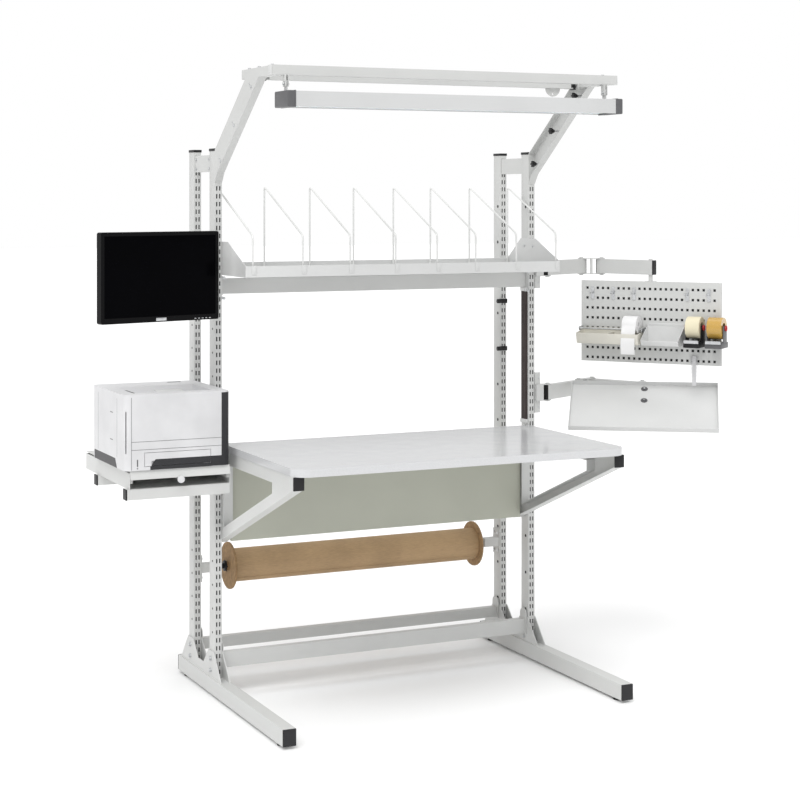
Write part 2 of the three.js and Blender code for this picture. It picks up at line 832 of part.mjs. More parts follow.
// A tilted tray in front of the end of the lower arm, on a gusseted yoke.
function tiltedTray() {
  const x = trayWidth / 2;
  const pan = block([-x, x], [-trayLength, 0], [0, trayWall]);
  const hollow = block([-x + traySheet, x - traySheet], [-trayLength + traySheet, -traySheet],
      [traySheet, trayWall + 5]);
  const tray = cut(pan, hollow);
  tray.rotateX(rad(trayTilt)).translate(trayShift, -trayBehind, trayWall);
  const reach = armHeight / 2 + hingePlay + yokePlate;
  const slope = Math.tan(rad(trayTilt));
  const under = (y) => trayWall + (y + trayBehind) * slope + 0.5;
  const gussetEnd = -trayBehind - (trayWall + reach) / slope * 0.94;
  const clear = -yokeRoot;
  const gusset = outline([
    [clear, -reach],
    [clear, reach],
    [-trayBehind - 1, reach],
    [-trayBehind - 1, under(-trayBehind - 1)],
    [gussetEnd, under(gussetEnd)],
    [gussetEnd, -reach],
  ]);
  const web = slab(gusset, 'x', -3, 3);
  const plates = yokePlates(0, yokeRoot - 8, armHeight, true).map((plate) => plate.rotateZ(-Math.PI / 2));
  return join(tray, web, ...plates, pinWithHeads(0, armHeight));
}

// ---------------------------------------------------------------- monitor

function monitor() {
  const x = screenWidth / 2;
  const z = screenHeight / 2;
  const plateBack = -monitorKnuckleBack + 3;
  const back = -monitorKnuckleBack;
  const shellBack = back - screenBack;
  const front = shellBack - screenThick;
  const shell = slab(roundedRectangle(-x, -z, x, z, 8), 'y', front, shellBack, 4);
  const recess = block([-x + 14, x - 14], [front - 5, front + 2], [-z + 20, z - 14]);
  const hump = slab(roundedRectangle(-x * 0.62, -z * 0.62, x * 0.62, z * 0.62, 20), 'y', shellBack - 1,
      back, 4);
  const mountPlate = block([-55, 55], [back - 1, plateBack], [-55, 55]);
  const near = monitorArmHeight / 2 + hingePlay;
  const reach = near + yokePlate;
  const plates = yokePlates(plateBack - 1, 0, monitorArmHeight,
      false).map((plate) => plate.rotateZ(Math.PI / 2));
  const pins = pinWithHeads(0, monitorArmHeight);
  const body = cut(join(shell, hump), recess);
  const web = block([-yokeWidth / 2, yokeWidth / 2], [plateBack - 1, plateBack + 3], [-reach, reach]);
  return join(body, mountPlate, web, ...plates, pins);
}

// ---------------------------------------------------------------- pull-out printer shelf

const carrierRight = -half - seat;
const carrierLeft = -half - carrierWidth;
const floorZ = carrierBottom + crossTubeHeight;

function printerCarrier() {
  const wall = carrierWall;
  const tubes = [crossTubeFront, crossTubeRear].map((y) =>
    tube('x', [carrierLeft - 8, carrierRight - 2], [y - crossTubeDepth / 2, y + crossTubeDepth / 2],
      [carrierBottom, floorZ], wall));
  const side = 3;
  const front = -carrierFront;
  const walls = outline([
    [carrierLeft, front],
    [carrierLeft + wall, front],
    [carrierLeft + wall, carrierRear - wall],
    [carrierRight - side, carrierRear - wall],
    [carrierRight - side, front],
    [carrierRight, front],
    [carrierRight, carrierRear],
    [carrierLeft, carrierRear],
  ]);
  const skirt = block([carrierRight - side - 1, carrierRight - 1], [front + 1,
      uprightPitch + uprightDepth], [
    carrierBottom,
    floorZ + wall,
  ]);
  const floor = block([carrierLeft + 1, carrierRight - 1], [front + 1, carrierRear - 1], [floorZ - 1,
      floorZ + wall - 1]);
  const railZ = [carrierTop - 8 - slideRailHeight, carrierTop - 8];
  const rails = [
    block([carrierLeft + wall - 0.5, carrierLeft + wall + slideRailDepth], [-carrierFront + 5,
        carrierRear - 10], railZ),
    block([carrierRight - side - slideRailDepth, carrierRight - side + 0.5], [-carrierFront + 5,
        carrierRear - 10], railZ),
  ];
  return join(...tubes, slab(walls, 'z', floorZ - 1, carrierTop), skirt, floor, ...rails);
}

function printerDrawer() {
  const sheet = drawerSheet;
  const left = carrierLeft - 2;
  const right = carrierRight - seat;
  const under = drawerTop - sheet;
  const top = block([left, right], [-carrierFront, carrierRear - 6], [under, drawerTop]);
  const inner = [carrierLeft + carrierWall + slideRailDepth + slidePlay,
      carrierRight - 3 - slideRailDepth - slidePlay];
  const low = carrierTop - 8 - slideRailHeight;
  const flanges = [
    block([inner[0], inner[0] + sheet], [-carrierFront + 5, carrierRear - 12], [low, under + 1]),
    block([inner[1] - sheet, inner[1]], [-carrierFront + 5, carrierRear - 12], [low, under + 1]),
  ];
  const lip = outline([
    [-carrierFront, drawerTop],
    [-carrierFront - drawerLipRun, drawerTop - drawerLip],
    [-carrierFront - drawerLipRun + sheet, drawerTop - drawerLip],
    [-carrierFront + sheet, drawerTop - sheet / 2],
  ]);
  const front = slab(lip, 'x', left + 3, right - 3);
  const knob = rod('y', 11, [(left + right) / 2, -carrierFront - 8, low + 8], 16, 20);
  const latch = block([(left + right) / 2 - 6, (left + right) / 2 + 6], [-carrierFront - 4,
      -carrierFront + 40], [
    low + 4,
    low + 8,
  ]);
  const stay = block([(left + right) / 2 - 6, (left + right) / 2 + 6], [-carrierFront + 34,
      -carrierFront + 40], [
    low + 4,
    under + 1,
  ]);
  return join(top, ...flanges, front, knob, latch, stay);
}

const printerRight = carrierRight - printerGap;
const printerMiddle = printerRight - printerWidth / 2;
const printerBase = drawerTop + seat;
const cassetteBottom = printerBase + cassetteBase;

function printerBody() {
  const x0 = printerMiddle - printerWidth / 2;
  const x1 = printerMiddle + printerWidth / 2;
  const y0 = -printerFront;
  const y1 = y0 + printerDepth;
  const top = printerBase + printerHeight;
  const shell = slab(roundedRectangle(x0, y0, x1, y1, printerCorner), 'z', printerBase, top, 4);
  const wall = printerShell;
  const bayX = cassetteWidth / 2 + slidePlay;
  const bay = block([printerMiddle - bayX, printerMiddle + bayX], [y0 - 5, y0 + cassetteDepth + 8], [
    cassetteBottom - slidePlay,
    cassetteBottom + cassetteHeight + slidePlay,
  ]);
  const hollow = block([x0 + 2 * wall, x1 - 2 * wall], [y0 + 2 * wall, y1 - 2 * wall], [
    cassetteBottom + cassetteHeight,
    top - 60,
  ]);
  const recess = outline([
    [y0 + 60, top + 1],
    [y0 + 60, top - 6],
    [y0 + 250, top - 46],
    [y0 + 290, top + 1],
  ].reverse());
  return cut(shell, bay, hollow, slab(recess, 'x', x0 + 50, x1 - 50));
}

function paperCassette() {
  const x = cassetteWidth / 2;
  const y0 = -printerFront;
  const box = block([printerMiddle - x, printerMiddle + x], [y0, y0 + cassetteDepth], [
    cassetteBottom,
    cassetteBottom + cassetteHeight,
  ]);
  const wall = printerShell;
  const inside = block([printerMiddle - x + wall, printerMiddle + x - wall], [y0 + 4 * wall,
      y0 + cassetteDepth - wall], [
    cassetteBottom + wall,
    cassetteBottom + cassetteHeight + 5,
  ]);
  const grip = block([printerMiddle - x * 0.8, printerMiddle + x * 0.8], [y0 - 5, y0 + 2 * wall], [
    cassetteBottom - 1,
    cassetteBottom + cassetteHeight * 0.4,
  ]);
  return cut(box, inside, grip);
}

// ---------------------------------------------------------------- assembly

const station = new THREE.Group();
const sides = [['left', -1], ['right', 1]];

for (const [name, side] of sides) {
  station.add(part(`base_leg_${name}`, leg(side), 'frame'));
  station.add(part(`upright_front_${name}`, upright(side, 0), 'frame'));
  station.add(part(`upright_rear_${name}`, upright(side, uprightPitch), 'frame'));
  station.add(part(`top_tie_${name}`, topTie(side), 'frame'));
  for (const [end, front] of [['front', true], ['rear', false]]) {
    station.add(part(`leg_cap_${name}_${end}`, legCap(side, front), 'darkPlastic'));
    station.add(part(`levelling_foot_${name}_${end}`, levellingFoot(side, front), 'zinc'));
  }
  station.add(part(`worktop_bracket_${name}`, worktopBracket(side), 'frame'));
  station.add(part(`roll_bracket_${name}`, rollBracket(side), 'frame'));
  station.add(part(`roll_flange_${name}`, rollFlange(side), 'board'));
  station.add(part(`canopy_arm_${name}`, canopyArm(side), 'frame'));
}

const betweenGussets = innerFace - gussetThick - 2 * seat;
station.add(part('lower_beam_front', crossBeam(0, beamBottom, beamHeight, beamPlateHeight, betweenGussets,
    beamPlateWidth / 2 - 1), 'frame'));
station.add(part('lower_beam_rear', crossBeam(uprightPitch, beamBottom + beamHeight - rearBeamHeight,
    rearBeamHeight, beamPlateHeight - beamHeight + rearBeamHeight, betweenGussets,
    beamPlateWidth / 2 - 1), 'frame'));
station.add(part('worktop', worktop(), 'laminate'));
station.add(part('modesty_panel', modestyPanel(), 'panel'));
station.add(part('upper_shelf', upperShelf(), 'frame'));
station.add(part('shelf_beam', crossBeam(0, shelfBeamTop - beamHeight, beamHeight, beamHeight + 8, innerFace - seat,
    6), 'frame'));
dividerX.forEach((x, i) => station.add(part(`wire_divider_${i + 1}`, wireDivider(x), 'wire')));
station.add(part('paper_roll', paperRoll(), 'kraft'));
station.add(part('canopy_front_rail', frontRail(), 'frame'));
station.add(part('tool_rail', toolRail(), 'frame'));
station.add(part('tool_trolley', toolTrolley(), 'frame'));
station.add(part('light_fixture', lightFixture(), 'lamp'));

// One jointed arm: bracket, first tube, double yoke, second tube and what it carries.
function jointedArm(name, z, [first, link, second, load], loadName, loadGeometry) {
  const base = new THREE.Group();
  base.position.set(half + armStandOff, 0, z);
  const plateY = [-armPlateThick / 2, uprightDepth - 2];
  base.add(part(`${name}_arm_bracket`, armBracket(armStandOff, armHeight, armPlateHeight, plateY, 0),
      'frame'));
  const steps = [
    [`${name}_arm_inner`, armTube(armPitch, armHeight), 0, first],
    [`${name}_arm_link`, armLink(linkPitch, armHeight), armPitch, link - first],
    [`${name}_arm_outer`, armTube(armPitch, armHeight), linkPitch, second - link],
    [loadName, loadGeometry, armPitch, load - second],
  ];
  let parent = base;
  for (const [stepName, geometry, along, turn] of steps) {
    const pivot = new THREE.Group();
    pivot.position.x = along;
    pivot.rotation.z = rad(turn);
    pivot.add(part(stepName, geometry, 'frame'));
    parent.add(pivot);
    parent = pivot;
  }
  return base;
}

station.add(jointedArm('upper', upperArmZ, upperArmTurn, 'perforated_board', tackBoard()));
station.add(jointedArm('lower', lowerArmZ, lowerArmTurn, 'tilted_tray', tiltedTray()));

const monitorBase = new THREE.Group();
monitorBase.position.set(-half - monitorStandOff, uprightDepth / 2, screenZ);
const monitorPlateY = uprightDepth / 2 - 2;
const monitorBracket = armBracket(
  monitorStandOff,
  monitorArmHeight,
  monitorPlateHeight,
  [-monitorPlateY, monitorPlateY],
  monitorPlateY,
);
monitorBracket.rotateZ(Math.PI);
monitorBase.add(part('monitor_bracket', monitorBracket, 'frame'));
const monitorSwing = new THREE.Group();
monitorSwing.rotation.z = rad(monitorArmTurn);
monitorSwing.add(part('monitor_arm', armTube(monitorArmLength, monitorArmHeight), 'frame'));
const monitorPivot = new THREE.Group();
monitorPivot.position.x = monitorArmLength;
monitorPivot.rotation.z = rad(monitorTurn - monitorArmTurn);
monitorPivot.add(part('monitor', monitor(), 'screen'));
monitorSwing.add(monitorPivot);
monitorBase.add(monitorSwing);
station.add(monitorBase);

station.add(part('printer_carrier', printerCarrier(), 'frame'));
station.add(part('printer_drawer', printerDrawer(), 'frame'));
station.add(part('printer', printerBody(), 'printerWhite'));
station.add(part('paper_cassette', paperCassette(), 'printerWhite'));

const extent = new THREE.Box3().setFromObject(station, true);
const middle = extent.getCenter(new THREE.Vector3());
station.position.set(-middle.x, -middle.y, -extent.min.z);

export default station;
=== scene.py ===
import json
import math
import random

import bmesh
import bpy
from mathutils import Matrix, Vector


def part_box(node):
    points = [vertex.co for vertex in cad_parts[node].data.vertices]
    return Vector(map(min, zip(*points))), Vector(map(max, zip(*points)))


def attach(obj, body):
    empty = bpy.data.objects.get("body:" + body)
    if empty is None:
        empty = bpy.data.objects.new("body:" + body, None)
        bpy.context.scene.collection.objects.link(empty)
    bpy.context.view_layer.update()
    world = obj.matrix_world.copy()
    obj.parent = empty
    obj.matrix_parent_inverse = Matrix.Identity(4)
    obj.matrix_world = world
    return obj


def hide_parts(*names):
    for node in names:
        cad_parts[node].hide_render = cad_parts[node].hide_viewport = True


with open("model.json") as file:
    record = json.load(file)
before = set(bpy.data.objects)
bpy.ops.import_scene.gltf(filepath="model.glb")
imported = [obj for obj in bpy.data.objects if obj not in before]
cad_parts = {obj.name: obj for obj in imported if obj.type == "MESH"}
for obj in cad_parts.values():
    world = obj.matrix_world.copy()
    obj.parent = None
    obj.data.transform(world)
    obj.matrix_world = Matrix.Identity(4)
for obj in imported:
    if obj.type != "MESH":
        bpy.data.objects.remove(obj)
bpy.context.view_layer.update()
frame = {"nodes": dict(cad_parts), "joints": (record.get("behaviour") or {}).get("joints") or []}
random.seed(7)
mm = 0.001

# Places below are in millimetres from the floor point midway between the side frames, under their front.
home = Vector(((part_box("upright_front_left")[0][0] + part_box("upright_front_right")[1][0]) / 2,
               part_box("upright_front_left")[0][1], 0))
pivots = {j["name"]: Vector(j["pos_m"]) - home for j in frame["joints"] if "pos_m" in j}
tau = 2 * math.pi


def nodeBox(name):
    low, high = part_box(name)
    return [(a - b) / mm for a, b in zip(low, home)], [(a - b) / mm for a, b in zip(high, home)]


# mesh helpers, sizes in millimetres

def addBox(bm, low, high):
    made = bmesh.ops.create_cube(bm, size=1)["verts"]
    bmesh.ops.scale(bm, vec=[(b - a) * mm for a, b in zip(low, high)], verts=made)
    bmesh.ops.translate(bm, vec=[(a + b) / 2 * mm for a, b in zip(low, high)], verts=made)
    return made


def addRod(bm, radius, length, centre, axis="z", sides=24, taper=1.0):
    made = bmesh.ops.create_cone(
        bm, cap_ends=True, segments=sides, radius1=radius * mm, radius2=radius * taper * mm,
        depth=length * mm,
    )["verts"]
    turns = {"x": ("Y", 90), "y": ("X", 90), "z": ("Z", 0)}
    about, angle = turns[axis]
    bmesh.ops.rotate(bm, cent=(0, 0, 0), matrix=Matrix.Rotation(math.radians(angle), 3, about), verts=made)
    bmesh.ops.translate(bm, vec=[c * mm for c in centre], verts=made)
    return made


def addTube(bm, outer, inner, length, centre, axis="x", sides=48):
    made = bmesh.ops.create_circle(bm, cap_ends=False, segments=sides, radius=outer * mm)["verts"]
    ring = list({e for v in made for e in v.link_edges})
    up = bmesh.ops.extrude_edge_only(bm, edges=ring)["geom"]
    top = [g for g in up if isinstance(g, bmesh.types.BMVert)]
    bmesh.ops.translate(bm, vec=(0, 0, length * mm), verts=top)
    walls = list({f for v in made for f in v.link_faces})
    bmesh.ops.recalc_face_normals(bm, faces=walls)
    bmesh.ops.solidify(bm, geom=walls, thickness=(outer - inner) * mm)
    loose, seen = list(made), set(made)
    while loose:
        for e in loose.pop().link_edges:
            for v in e.verts:
                if v not in seen:
                    seen.add(v)
                    loose.append(v)
    verts = list(seen)
    bmesh.ops.translate(bm, vec=(0, 0, -length / 2 * mm), verts=verts)
    if axis != "z":
        about = "Y" if axis == "x" else "X"
        quarter = Matrix.Rotation(math.radians(90), 3, about)
        bmesh.ops.rotate(bm, cent=(0, 0, 0), matrix=quarter, verts=verts)
    bmesh.ops.translate(bm, vec=[c * mm for c in centre], verts=verts)
    return verts


def roundEdges(bm, verts, radius, segments=2, along=None):
    edges = {e for v in verts for e in v.link_edges}
    if along is not None:
        edges = {e for e in edges if abs((e.verts[0].co - e.verts[1].co).normalized()[along]) > 0.99}
    bmesh.ops.bevel(
        bm, geom=list(edges), offset=radius * mm, offset_type="OFFSET", segments=segments,
        profile=0.5, affect="EDGES", clamp_overlap=True, material=-1,
    )


def addHexBolt(bm, centre, axis, out=1, across=13, head=6, washer=9):
    a = "xyz".index(axis)
    flat = list(centre)
    flat[a] += out * 0.75
    addRod(bm, washer, 1.5, flat, axis)
    top = list(centre)
    top[a] += out * (1.5 + head / 2)
    addRod(bm, across / 2 / math.cos(math.pi / 6), head, top, axis, sides=6)
    crown = list(centre)
    crown[a] += out * (1.5 + head)
    addRod(bm, across * 0.4, 1.2, crown, axis, sides=18)


def addDomeBolt(bm, centre, axis, out=1, radius=7, head=4):
    a = "xyz".index(axis)
    low = list(centre)
    low[a] += out * head * 0.25
    addRod(bm, radius, head * 0.5, low, axis, sides=20)
    top = list(centre)
    top[a] += out * head * 0.7
    addRod(bm, radius * 0.82, head * 0.5, top, axis, sides=20)
    tip = list(centre)
    tip[a] += out * head
    addRod(bm, radius * 0.38, 0.8, tip, axis, sides=6)


def finishPiece(name, bm, material, body, place=None, bevel=0, segments=2, smooth=35):
    stand = Matrix.Translation(home)
    bmesh.ops.transform(bm, matrix=stand @ place if place is not None else stand, verts=bm.verts)
    bmesh.ops.recalc_face_normals(bm, faces=bm.faces)
    mesh = bpy.data.meshes.new(name)
    bm.to_mesh(mesh)
    bm.free()
    piece = bpy.data.objects.new(name, mesh)
    bpy.context.scene.collection.objects.link(piece)
    mesh.materials.append(material)
    mesh.shade_smooth()
    mesh.set_sharp_from_angle(angle=math.radians(smooth))
    if bevel:
        edge = piece.modifiers.new("edge", "BEVEL")
        edge.width = bevel * mm
        edge.segments = segments
        edge.limit_method = "ANGLE"
        edge.angle_limit = math.radians(40)
        edge.harden_normals = False
    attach(piece, body)
    return piece


# materials

def startMaterial(name):
    mat = bpy.data.materials.new(name)
    mat.use_nodes = True
    nodes, links = mat.node_tree.nodes, mat.node_tree.links
    nodes.clear()
    out = nodes.new("ShaderNodeOutputMaterial")
    shader = nodes.new("ShaderNodeBsdfPrincipled")
    links.new(shader.outputs["BSDF"], out.inputs["Surface"])
    place = nodes.new("ShaderNodeTexCoord")
    return mat, nodes, links, shader, place.outputs["Object"]


def addNoise(nodes, links, where, scale, detail=3.0, stretch=None):
    if stretch:
        mapping = nodes.new("ShaderNodeMapping")
        mapping.inputs["Scale"].default_value = stretch
        links.new(where, mapping.inputs["Vector"])
        where = mapping.outputs["Vector"]
    noise = nodes.new("ShaderNodeTexNoise")
    noise.inputs["Scale"].default_value = scale
    noise.inputs["Detail"].default_value = detail
    links.new(where, noise.inputs["Vector"])
    return noise.outputs["Fac"]


def blendColours(nodes, links, factor, dark, light, low=0.3, high=0.7):
    ramp = nodes.new("ShaderNodeValToRGB")
    ramp.color_ramp.elements[0].position = low
    ramp.color_ramp.elements[0].color = (*dark, 1)
    ramp.color_ramp.elements[1].position = high
    ramp.color_ramp.elements[1].color = (*light, 1)
    links.new(factor, ramp.inputs["Fac"])
    return ramp.outputs["Color"]


def addBump(nodes, links, shader, height, distance, strength=1.0, before=None):
    bump = nodes.new("ShaderNodeBump")
    bump.inputs["Strength"].default_value = strength
    bump.inputs["Distance"].default_value = distance
    links.new(height, bump.inputs["Height"])
    if before:
        links.new(before, bump.inputs["Normal"])
    links.new(bump.outputs["Normal"], shader.inputs["Normal"])
    return bump.outputs["Normal"]


def varyRoughness(nodes, links, shader, factor, low, high):
    ramp = nodes.new("ShaderNodeMapRange")
    ramp.inputs["To Min"].default_value = low
    ramp.inputs["To Max"].default_value = high
    links.new(factor, ramp.inputs["Value"])
    links.new(ramp.outputs["Result"], shader.inputs["Roughness"])


def shade(colour, share):
    return tuple(min(1.0, c * share) for c in colour)


def powderCoat(name, colour, rough=0.42, peel=0.00012):
    mat, nodes, links, shader, where = startMaterial(name)
    cloud = addNoise(nodes, links, where, 5.0, 4.0)
    tint = blendColours(nodes, links, cloud, shade(colour, 0.965), shade(colour, 1.02))
    links.new(tint, shader.inputs["Base Color"])
    skin = addNoise(nodes, links, where, 700.0, 2.0)
    varyRoughness(nodes, links, shader, skin, rough - 0.06, rough + 0.08)
    addBump(nodes, links, shader, skin, peel, 0.5)
    shader.inputs["Specular IOR Level"].default_value = 0.5
    return mat


def mouldedPlastic(name, colour, rough=0.5, grain=900.0, depth=0.00015, coat=0.0, gloss=0.5):
    mat, nodes, links, shader, where = startMaterial(name)
    cloud = addNoise(nodes, links, where, 9.0, 3.0)
    tint = blendColours(nodes, links, cloud, shade(colour, 0.94), shade(colour, 1.05))
    links.new(tint, shader.inputs["Base Color"])
    skin = addNoise(nodes, links, where, grain, 3.0)
    varyRoughness(nodes, links, shader, skin, rough - 0.07, rough + 0.07)
    addBump(nodes, links, shader, skin, depth, 0.6)
    shader.inputs["Coat Weight"].default_value = coat
    shader.inputs["Coat Roughness"].default_value = 0.06
    shader.inputs["Specular IOR Level"].default_value = gloss
    return mat


def platedSteel(name, colour, rough=0.28, grain=(60.0, 60.0, 900.0)):
    mat, nodes, links, shader, where = startMaterial(name)
    shader.inputs["Metallic"].default_value = 1.0
    cloud = addNoise(nodes, links, where, 60.0, 4.0)
    tint = blendColours(nodes, links, cloud, shade(colour, 0.85), shade(colour, 1.1))
    links.new(tint, shader.inputs["Base Color"])
    skin = addNoise(nodes, links, where, 1.0, 3.0, stretch=grain)
    varyRoughness(nodes, links, shader, skin, rough - 0.08, rough + 0.14)
    addBump(nodes, links, shader, skin, 0.00005, 0.5)
    return mat


def laminateTop(name, colour):
    mat, nodes, links, shader, where = startMaterial(name)
    speck = addNoise(nodes, links, where, 420.0, 5.0)
    tint = blendColours(nodes, links, speck, shade(colour, 0.93), shade(colour, 1.02), 0.35, 0.6)
    links.new(tint, shader.inputs["Base Color"])
    waves = addNoise(nodes, links, where, 14.0, 2.0)
    varyRoughness(nodes, links, shader, waves, 0.16, 0.26)
    addBump(nodes, links, shader, speck, 0.00006, 0.35)
    shader.inputs["Coat Weight"].default_value = 0.3
    shader.inputs["Coat Roughness"].default_value = 0.1
    return mat


def kraftPaper(name, colour):
    mat, nodes, links, shader, where = startMaterial(name)
    fibres = addNoise(nodes, links, where, 1.0, 6.0, stretch=(45.0, 700.0, 700.0))
    cloud = addNoise(nodes, links, where, 7.0, 4.0)
    mix = nodes.new("ShaderNodeMath")
    mix.operation = "MULTIPLY_ADD"
    mix.inputs[1].default_value = 0.55
    links.new(fibres, mix.inputs[0])
    half = nodes.new("ShaderNodeMath")
    half.operation = "MULTIPLY"
    half.inputs[1].default_value = 0.45
    links.new(cloud, half.inputs[0])
    links.new(half.outputs[0], mix.inputs[2])
    tint = blendColours(nodes, links, mix.outputs[0], shade(colour, 0.82), shade(colour, 1.12), 0.36, 0.62)
    links.new(tint, shader.inputs["Base Color"])
    varyRoughness(nodes, links, shader, fibres, 0.68, 0.9)
    addBump(nodes, links, shader, mix.outputs[0], 0.0006, 0.6)
    return mat


def pressedBoard(name, colour):
    mat, nodes, links, shader, where = startMaterial(name)
    chips = nodes.new("ShaderNodeTexVoronoi")
    chips.inputs["Scale"].default_value = 260.0
    links.new(where, chips.inputs["Vector"])
    cloud = addNoise(nodes, links, where, 60.0, 5.0)
    tint = blendColours(nodes, links, cloud, shade(colour, 0.7), shade(colour, 1.15))
    links.new(tint, shader.inputs["Base Color"])
    shader.inputs["Roughness"].default_value = 0.82
    addBump(nodes, links, shader, chips.outputs["Distance"], 0.0004, 0.5)
    return mat


def darkGlass(name, colour, rough=0.06):
    mat, nodes, links, shader, where = startMaterial(name)
    smear = addNoise(nodes, links, where, 11.0, 5.0)
    tint = blendColours(nodes, links, smear, shade(colour, 0.8), shade(colour, 1.25))
    links.new(tint, shader.inputs["Base Color"])
    varyRoughness(nodes, links, shader, smear, rough, rough + 0.06)
    shader.inputs["Specular IOR Level"].default_value = 0.02
    return mat


def clearTape(name, colour):
    mat, nodes, links, shader, where = startMaterial(name)
    layers = nodes.new("ShaderNodeTexWave")
    layers.wave_type = "RINGS"
    layers.inputs["Scale"].default_value = 300.0
    layers.inputs["Distortion"].default_value = 2.0
    links.new(where, layers.inputs["Vector"])
    tint = blendColours(nodes, links, layers.outputs["Fac"], shade(colour, 0.8), shade(colour, 1.1))
    links.new(tint, shader.inputs["Base Color"])
    shader.inputs["Roughness"].default_value = 0.22
    shader.inputs["Coat Weight"].default_value = 0.8
    shader.inputs["Coat Roughness"].default_value = 0.08
    addBump(nodes, links, shader, layers.outputs["Fac"], 0.0002, 0.3)
    return mat


def lampDiffuser(name, colour):
    mat, nodes, links, shader, where = startMaterial(name)
    ridges = nodes.new("ShaderNodeTexWave")
    ridges.bands_direction = "Y"
    ridges.inputs["Scale"].default_value = 60.0
    links.new(where, ridges.inputs["Vector"])
    tint = blendColours(nodes, links, ridges.outputs["Fac"], shade(colour, 0.9), colour)
    links.new(tint, shader.inputs["Base Color"])
    shader.inputs["Roughness"].default_value = 0.3
    shader.inputs["Subsurface Weight"].default_value = 0.2
    addBump(nodes, links, shader, ridges.outputs["Fac"], 0.0008, 0.6)
    return mat


finish = {
    "frame": powderCoat("frameGrey", (0.60, 0.605, 0.595), peel=0.00005),
    "shelf": powderCoat("shelfGrey", (0.64, 0.645, 0.64), rough=0.38),
    "panel": powderCoat("panelGreyGreen", (0.44, 0.45, 0.38), rough=0.5),
    "laminate": laminateTop("laminateGrey", (0.60, 0.605, 0.615)),
    "black": mouldedPlastic("blackPlastic", (0.012, 0.012, 0.013), rough=0.45, gloss=0.3),
    "darkGrey": mouldedPlastic("darkGreyPlastic", (0.024, 0.024, 0.026), rough=0.5, gloss=0.3),
    "capGrey": mouldedPlastic("capGreyPlastic", (0.10, 0.10, 0.105), rough=0.42),
    # unpainted steel for tube insides, made near black as painted shade inside the tubes
    "bareSteelPaintedShade": platedSteel("bareSteelPaintedShade", (0.03, 0.03, 0.032), rough=0.6),
    "zinc": platedSteel("zincSteel", (0.62, 0.63, 0.64)),
    "wire": powderCoat("wireCoat", (0.74, 0.745, 0.735), rough=0.3, peel=0.00004),
    "kraft": kraftPaper("kraftPaper", (0.46, 0.31, 0.17)),
    "board": pressedBoard("pressedBoard", (0.36, 0.225, 0.11)),
    "lamp": powderCoat("lampGrey", (0.58, 0.585, 0.585), rough=0.35),
    "diffuser": lampDiffuser("lampDiffuser", (0.85, 0.86, 0.87)),
    "screenShell": mouldedPlastic(
        "screenShell", (0.002, 0.002, 0.0025), rough=0.3, depth=0.00005, gloss=0.1),
    "screenGlass": darkGlass("screenGlass", (0.0008, 0.0008, 0.0013)),
    "printerWhite": mouldedPlastic("printerWhite", (0.66, 0.66, 0.67), rough=0.45, depth=0.0001),
    "printerDark": mouldedPlastic("printerDark", (0.03, 0.03, 0.033), rough=0.4, gloss=0.3),
    "binGrey": mouldedPlastic("binGrey", (0.66, 0.665, 0.66), rough=0.4),
    "cream": mouldedPlastic("creamPaper", (0.72, 0.66, 0.48), rough=0.7, grain=300.0),
    "amber": clearTape("amberTape", (0.55, 0.33, 0.06)),
    "ivory": mouldedPlastic("ivoryPlastic", (0.70, 0.68, 0.61), rough=0.5),
    "umber": mouldedPlastic("umberPlastic", (0.045, 0.032, 0.030), rough=0.55, gloss=0.3),
    "red": mouldedPlastic("redPlastic", (0.42, 0.02, 0.02), rough=0.35),
    "paper": mouldedPlastic("whitePaper", (0.80, 0.80, 0.80), rough=0.8, grain=500.0),
}
print("materials made")


# what carries over from the solids: a finish, and a small radius on every edge

carried = {
    "base_leg": ("frame", 2.0), "top_tie": ("frame", 1.2), "leg_cap": ("darkGrey", 2.5),
    "levelling_foot": ("darkGrey", 0.8), "worktop_bracket": ("frame", 0.9), "roll_bracket": ("frame", 0.8),
    "roll_flange": ("board", 0.6), "canopy_arm": ("frame", 0.9), "lower_beam": ("frame", 1.2),
    "worktop": ("laminate", 2.0), "modesty_panel": ("panel", 0.5), "upper_shelf": ("shelf", 0.6),
    "shelf_beam": ("frame", 1.0), "wire_divider": ("wire", 0.0), "paper_roll": ("kraft", 0.8),
    "canopy_front_rail": ("frame", 0.9), "tool_rail": ("frame", 0.6), "tool_trolley": ("frame", 0.5),
    "light_fixture": ("lamp", 0.8), "upper_arm": ("frame", 1.0), "lower_arm": ("frame", 1.0),
    "printer": ("printerWhite", 2.5), "paper_cassette": ("printerWhite", 0.6),
    "monitor_bracket": ("frame", 0.8), "monitor_arm": ("frame", 1.0), "monitor": ("screenShell", 1.5),
    "tilted_tray": ("shelf", 0.8), "printer_carrier": ("frame", 0.6), "printer_drawer": ("frame", 0.6),
}
for name, node in frame["nodes"].items():
    keys = sorted((k for k in carried if name.startswith(k)), key=len)
    if not keys:
        continue
    look, radius = carried[keys[-1]]
    node.data.materials.clear()
    node.data.materials.append(finish[look])
    weld = node.modifiers.new("weld", "WELD")
    weld.merge_threshold = 0.00001
    if radius:
        edge = node.modifiers.new("edge", "BEVEL")
        edge.width = radius * mm
        edge.segments = 2
        edge.limit_method = "ANGLE"
        edge.angle_limit = math.radians(40)
        edge.use_clamp_overlap = True
print("solids dressed")


# slotted uprights

upright = {
    "wall": 2.0, "pitch": 30.0, "slotLength": 17.0, "slotWidth": 5.0, "slotFromSide": 9.0, "corner": 2.5,
}


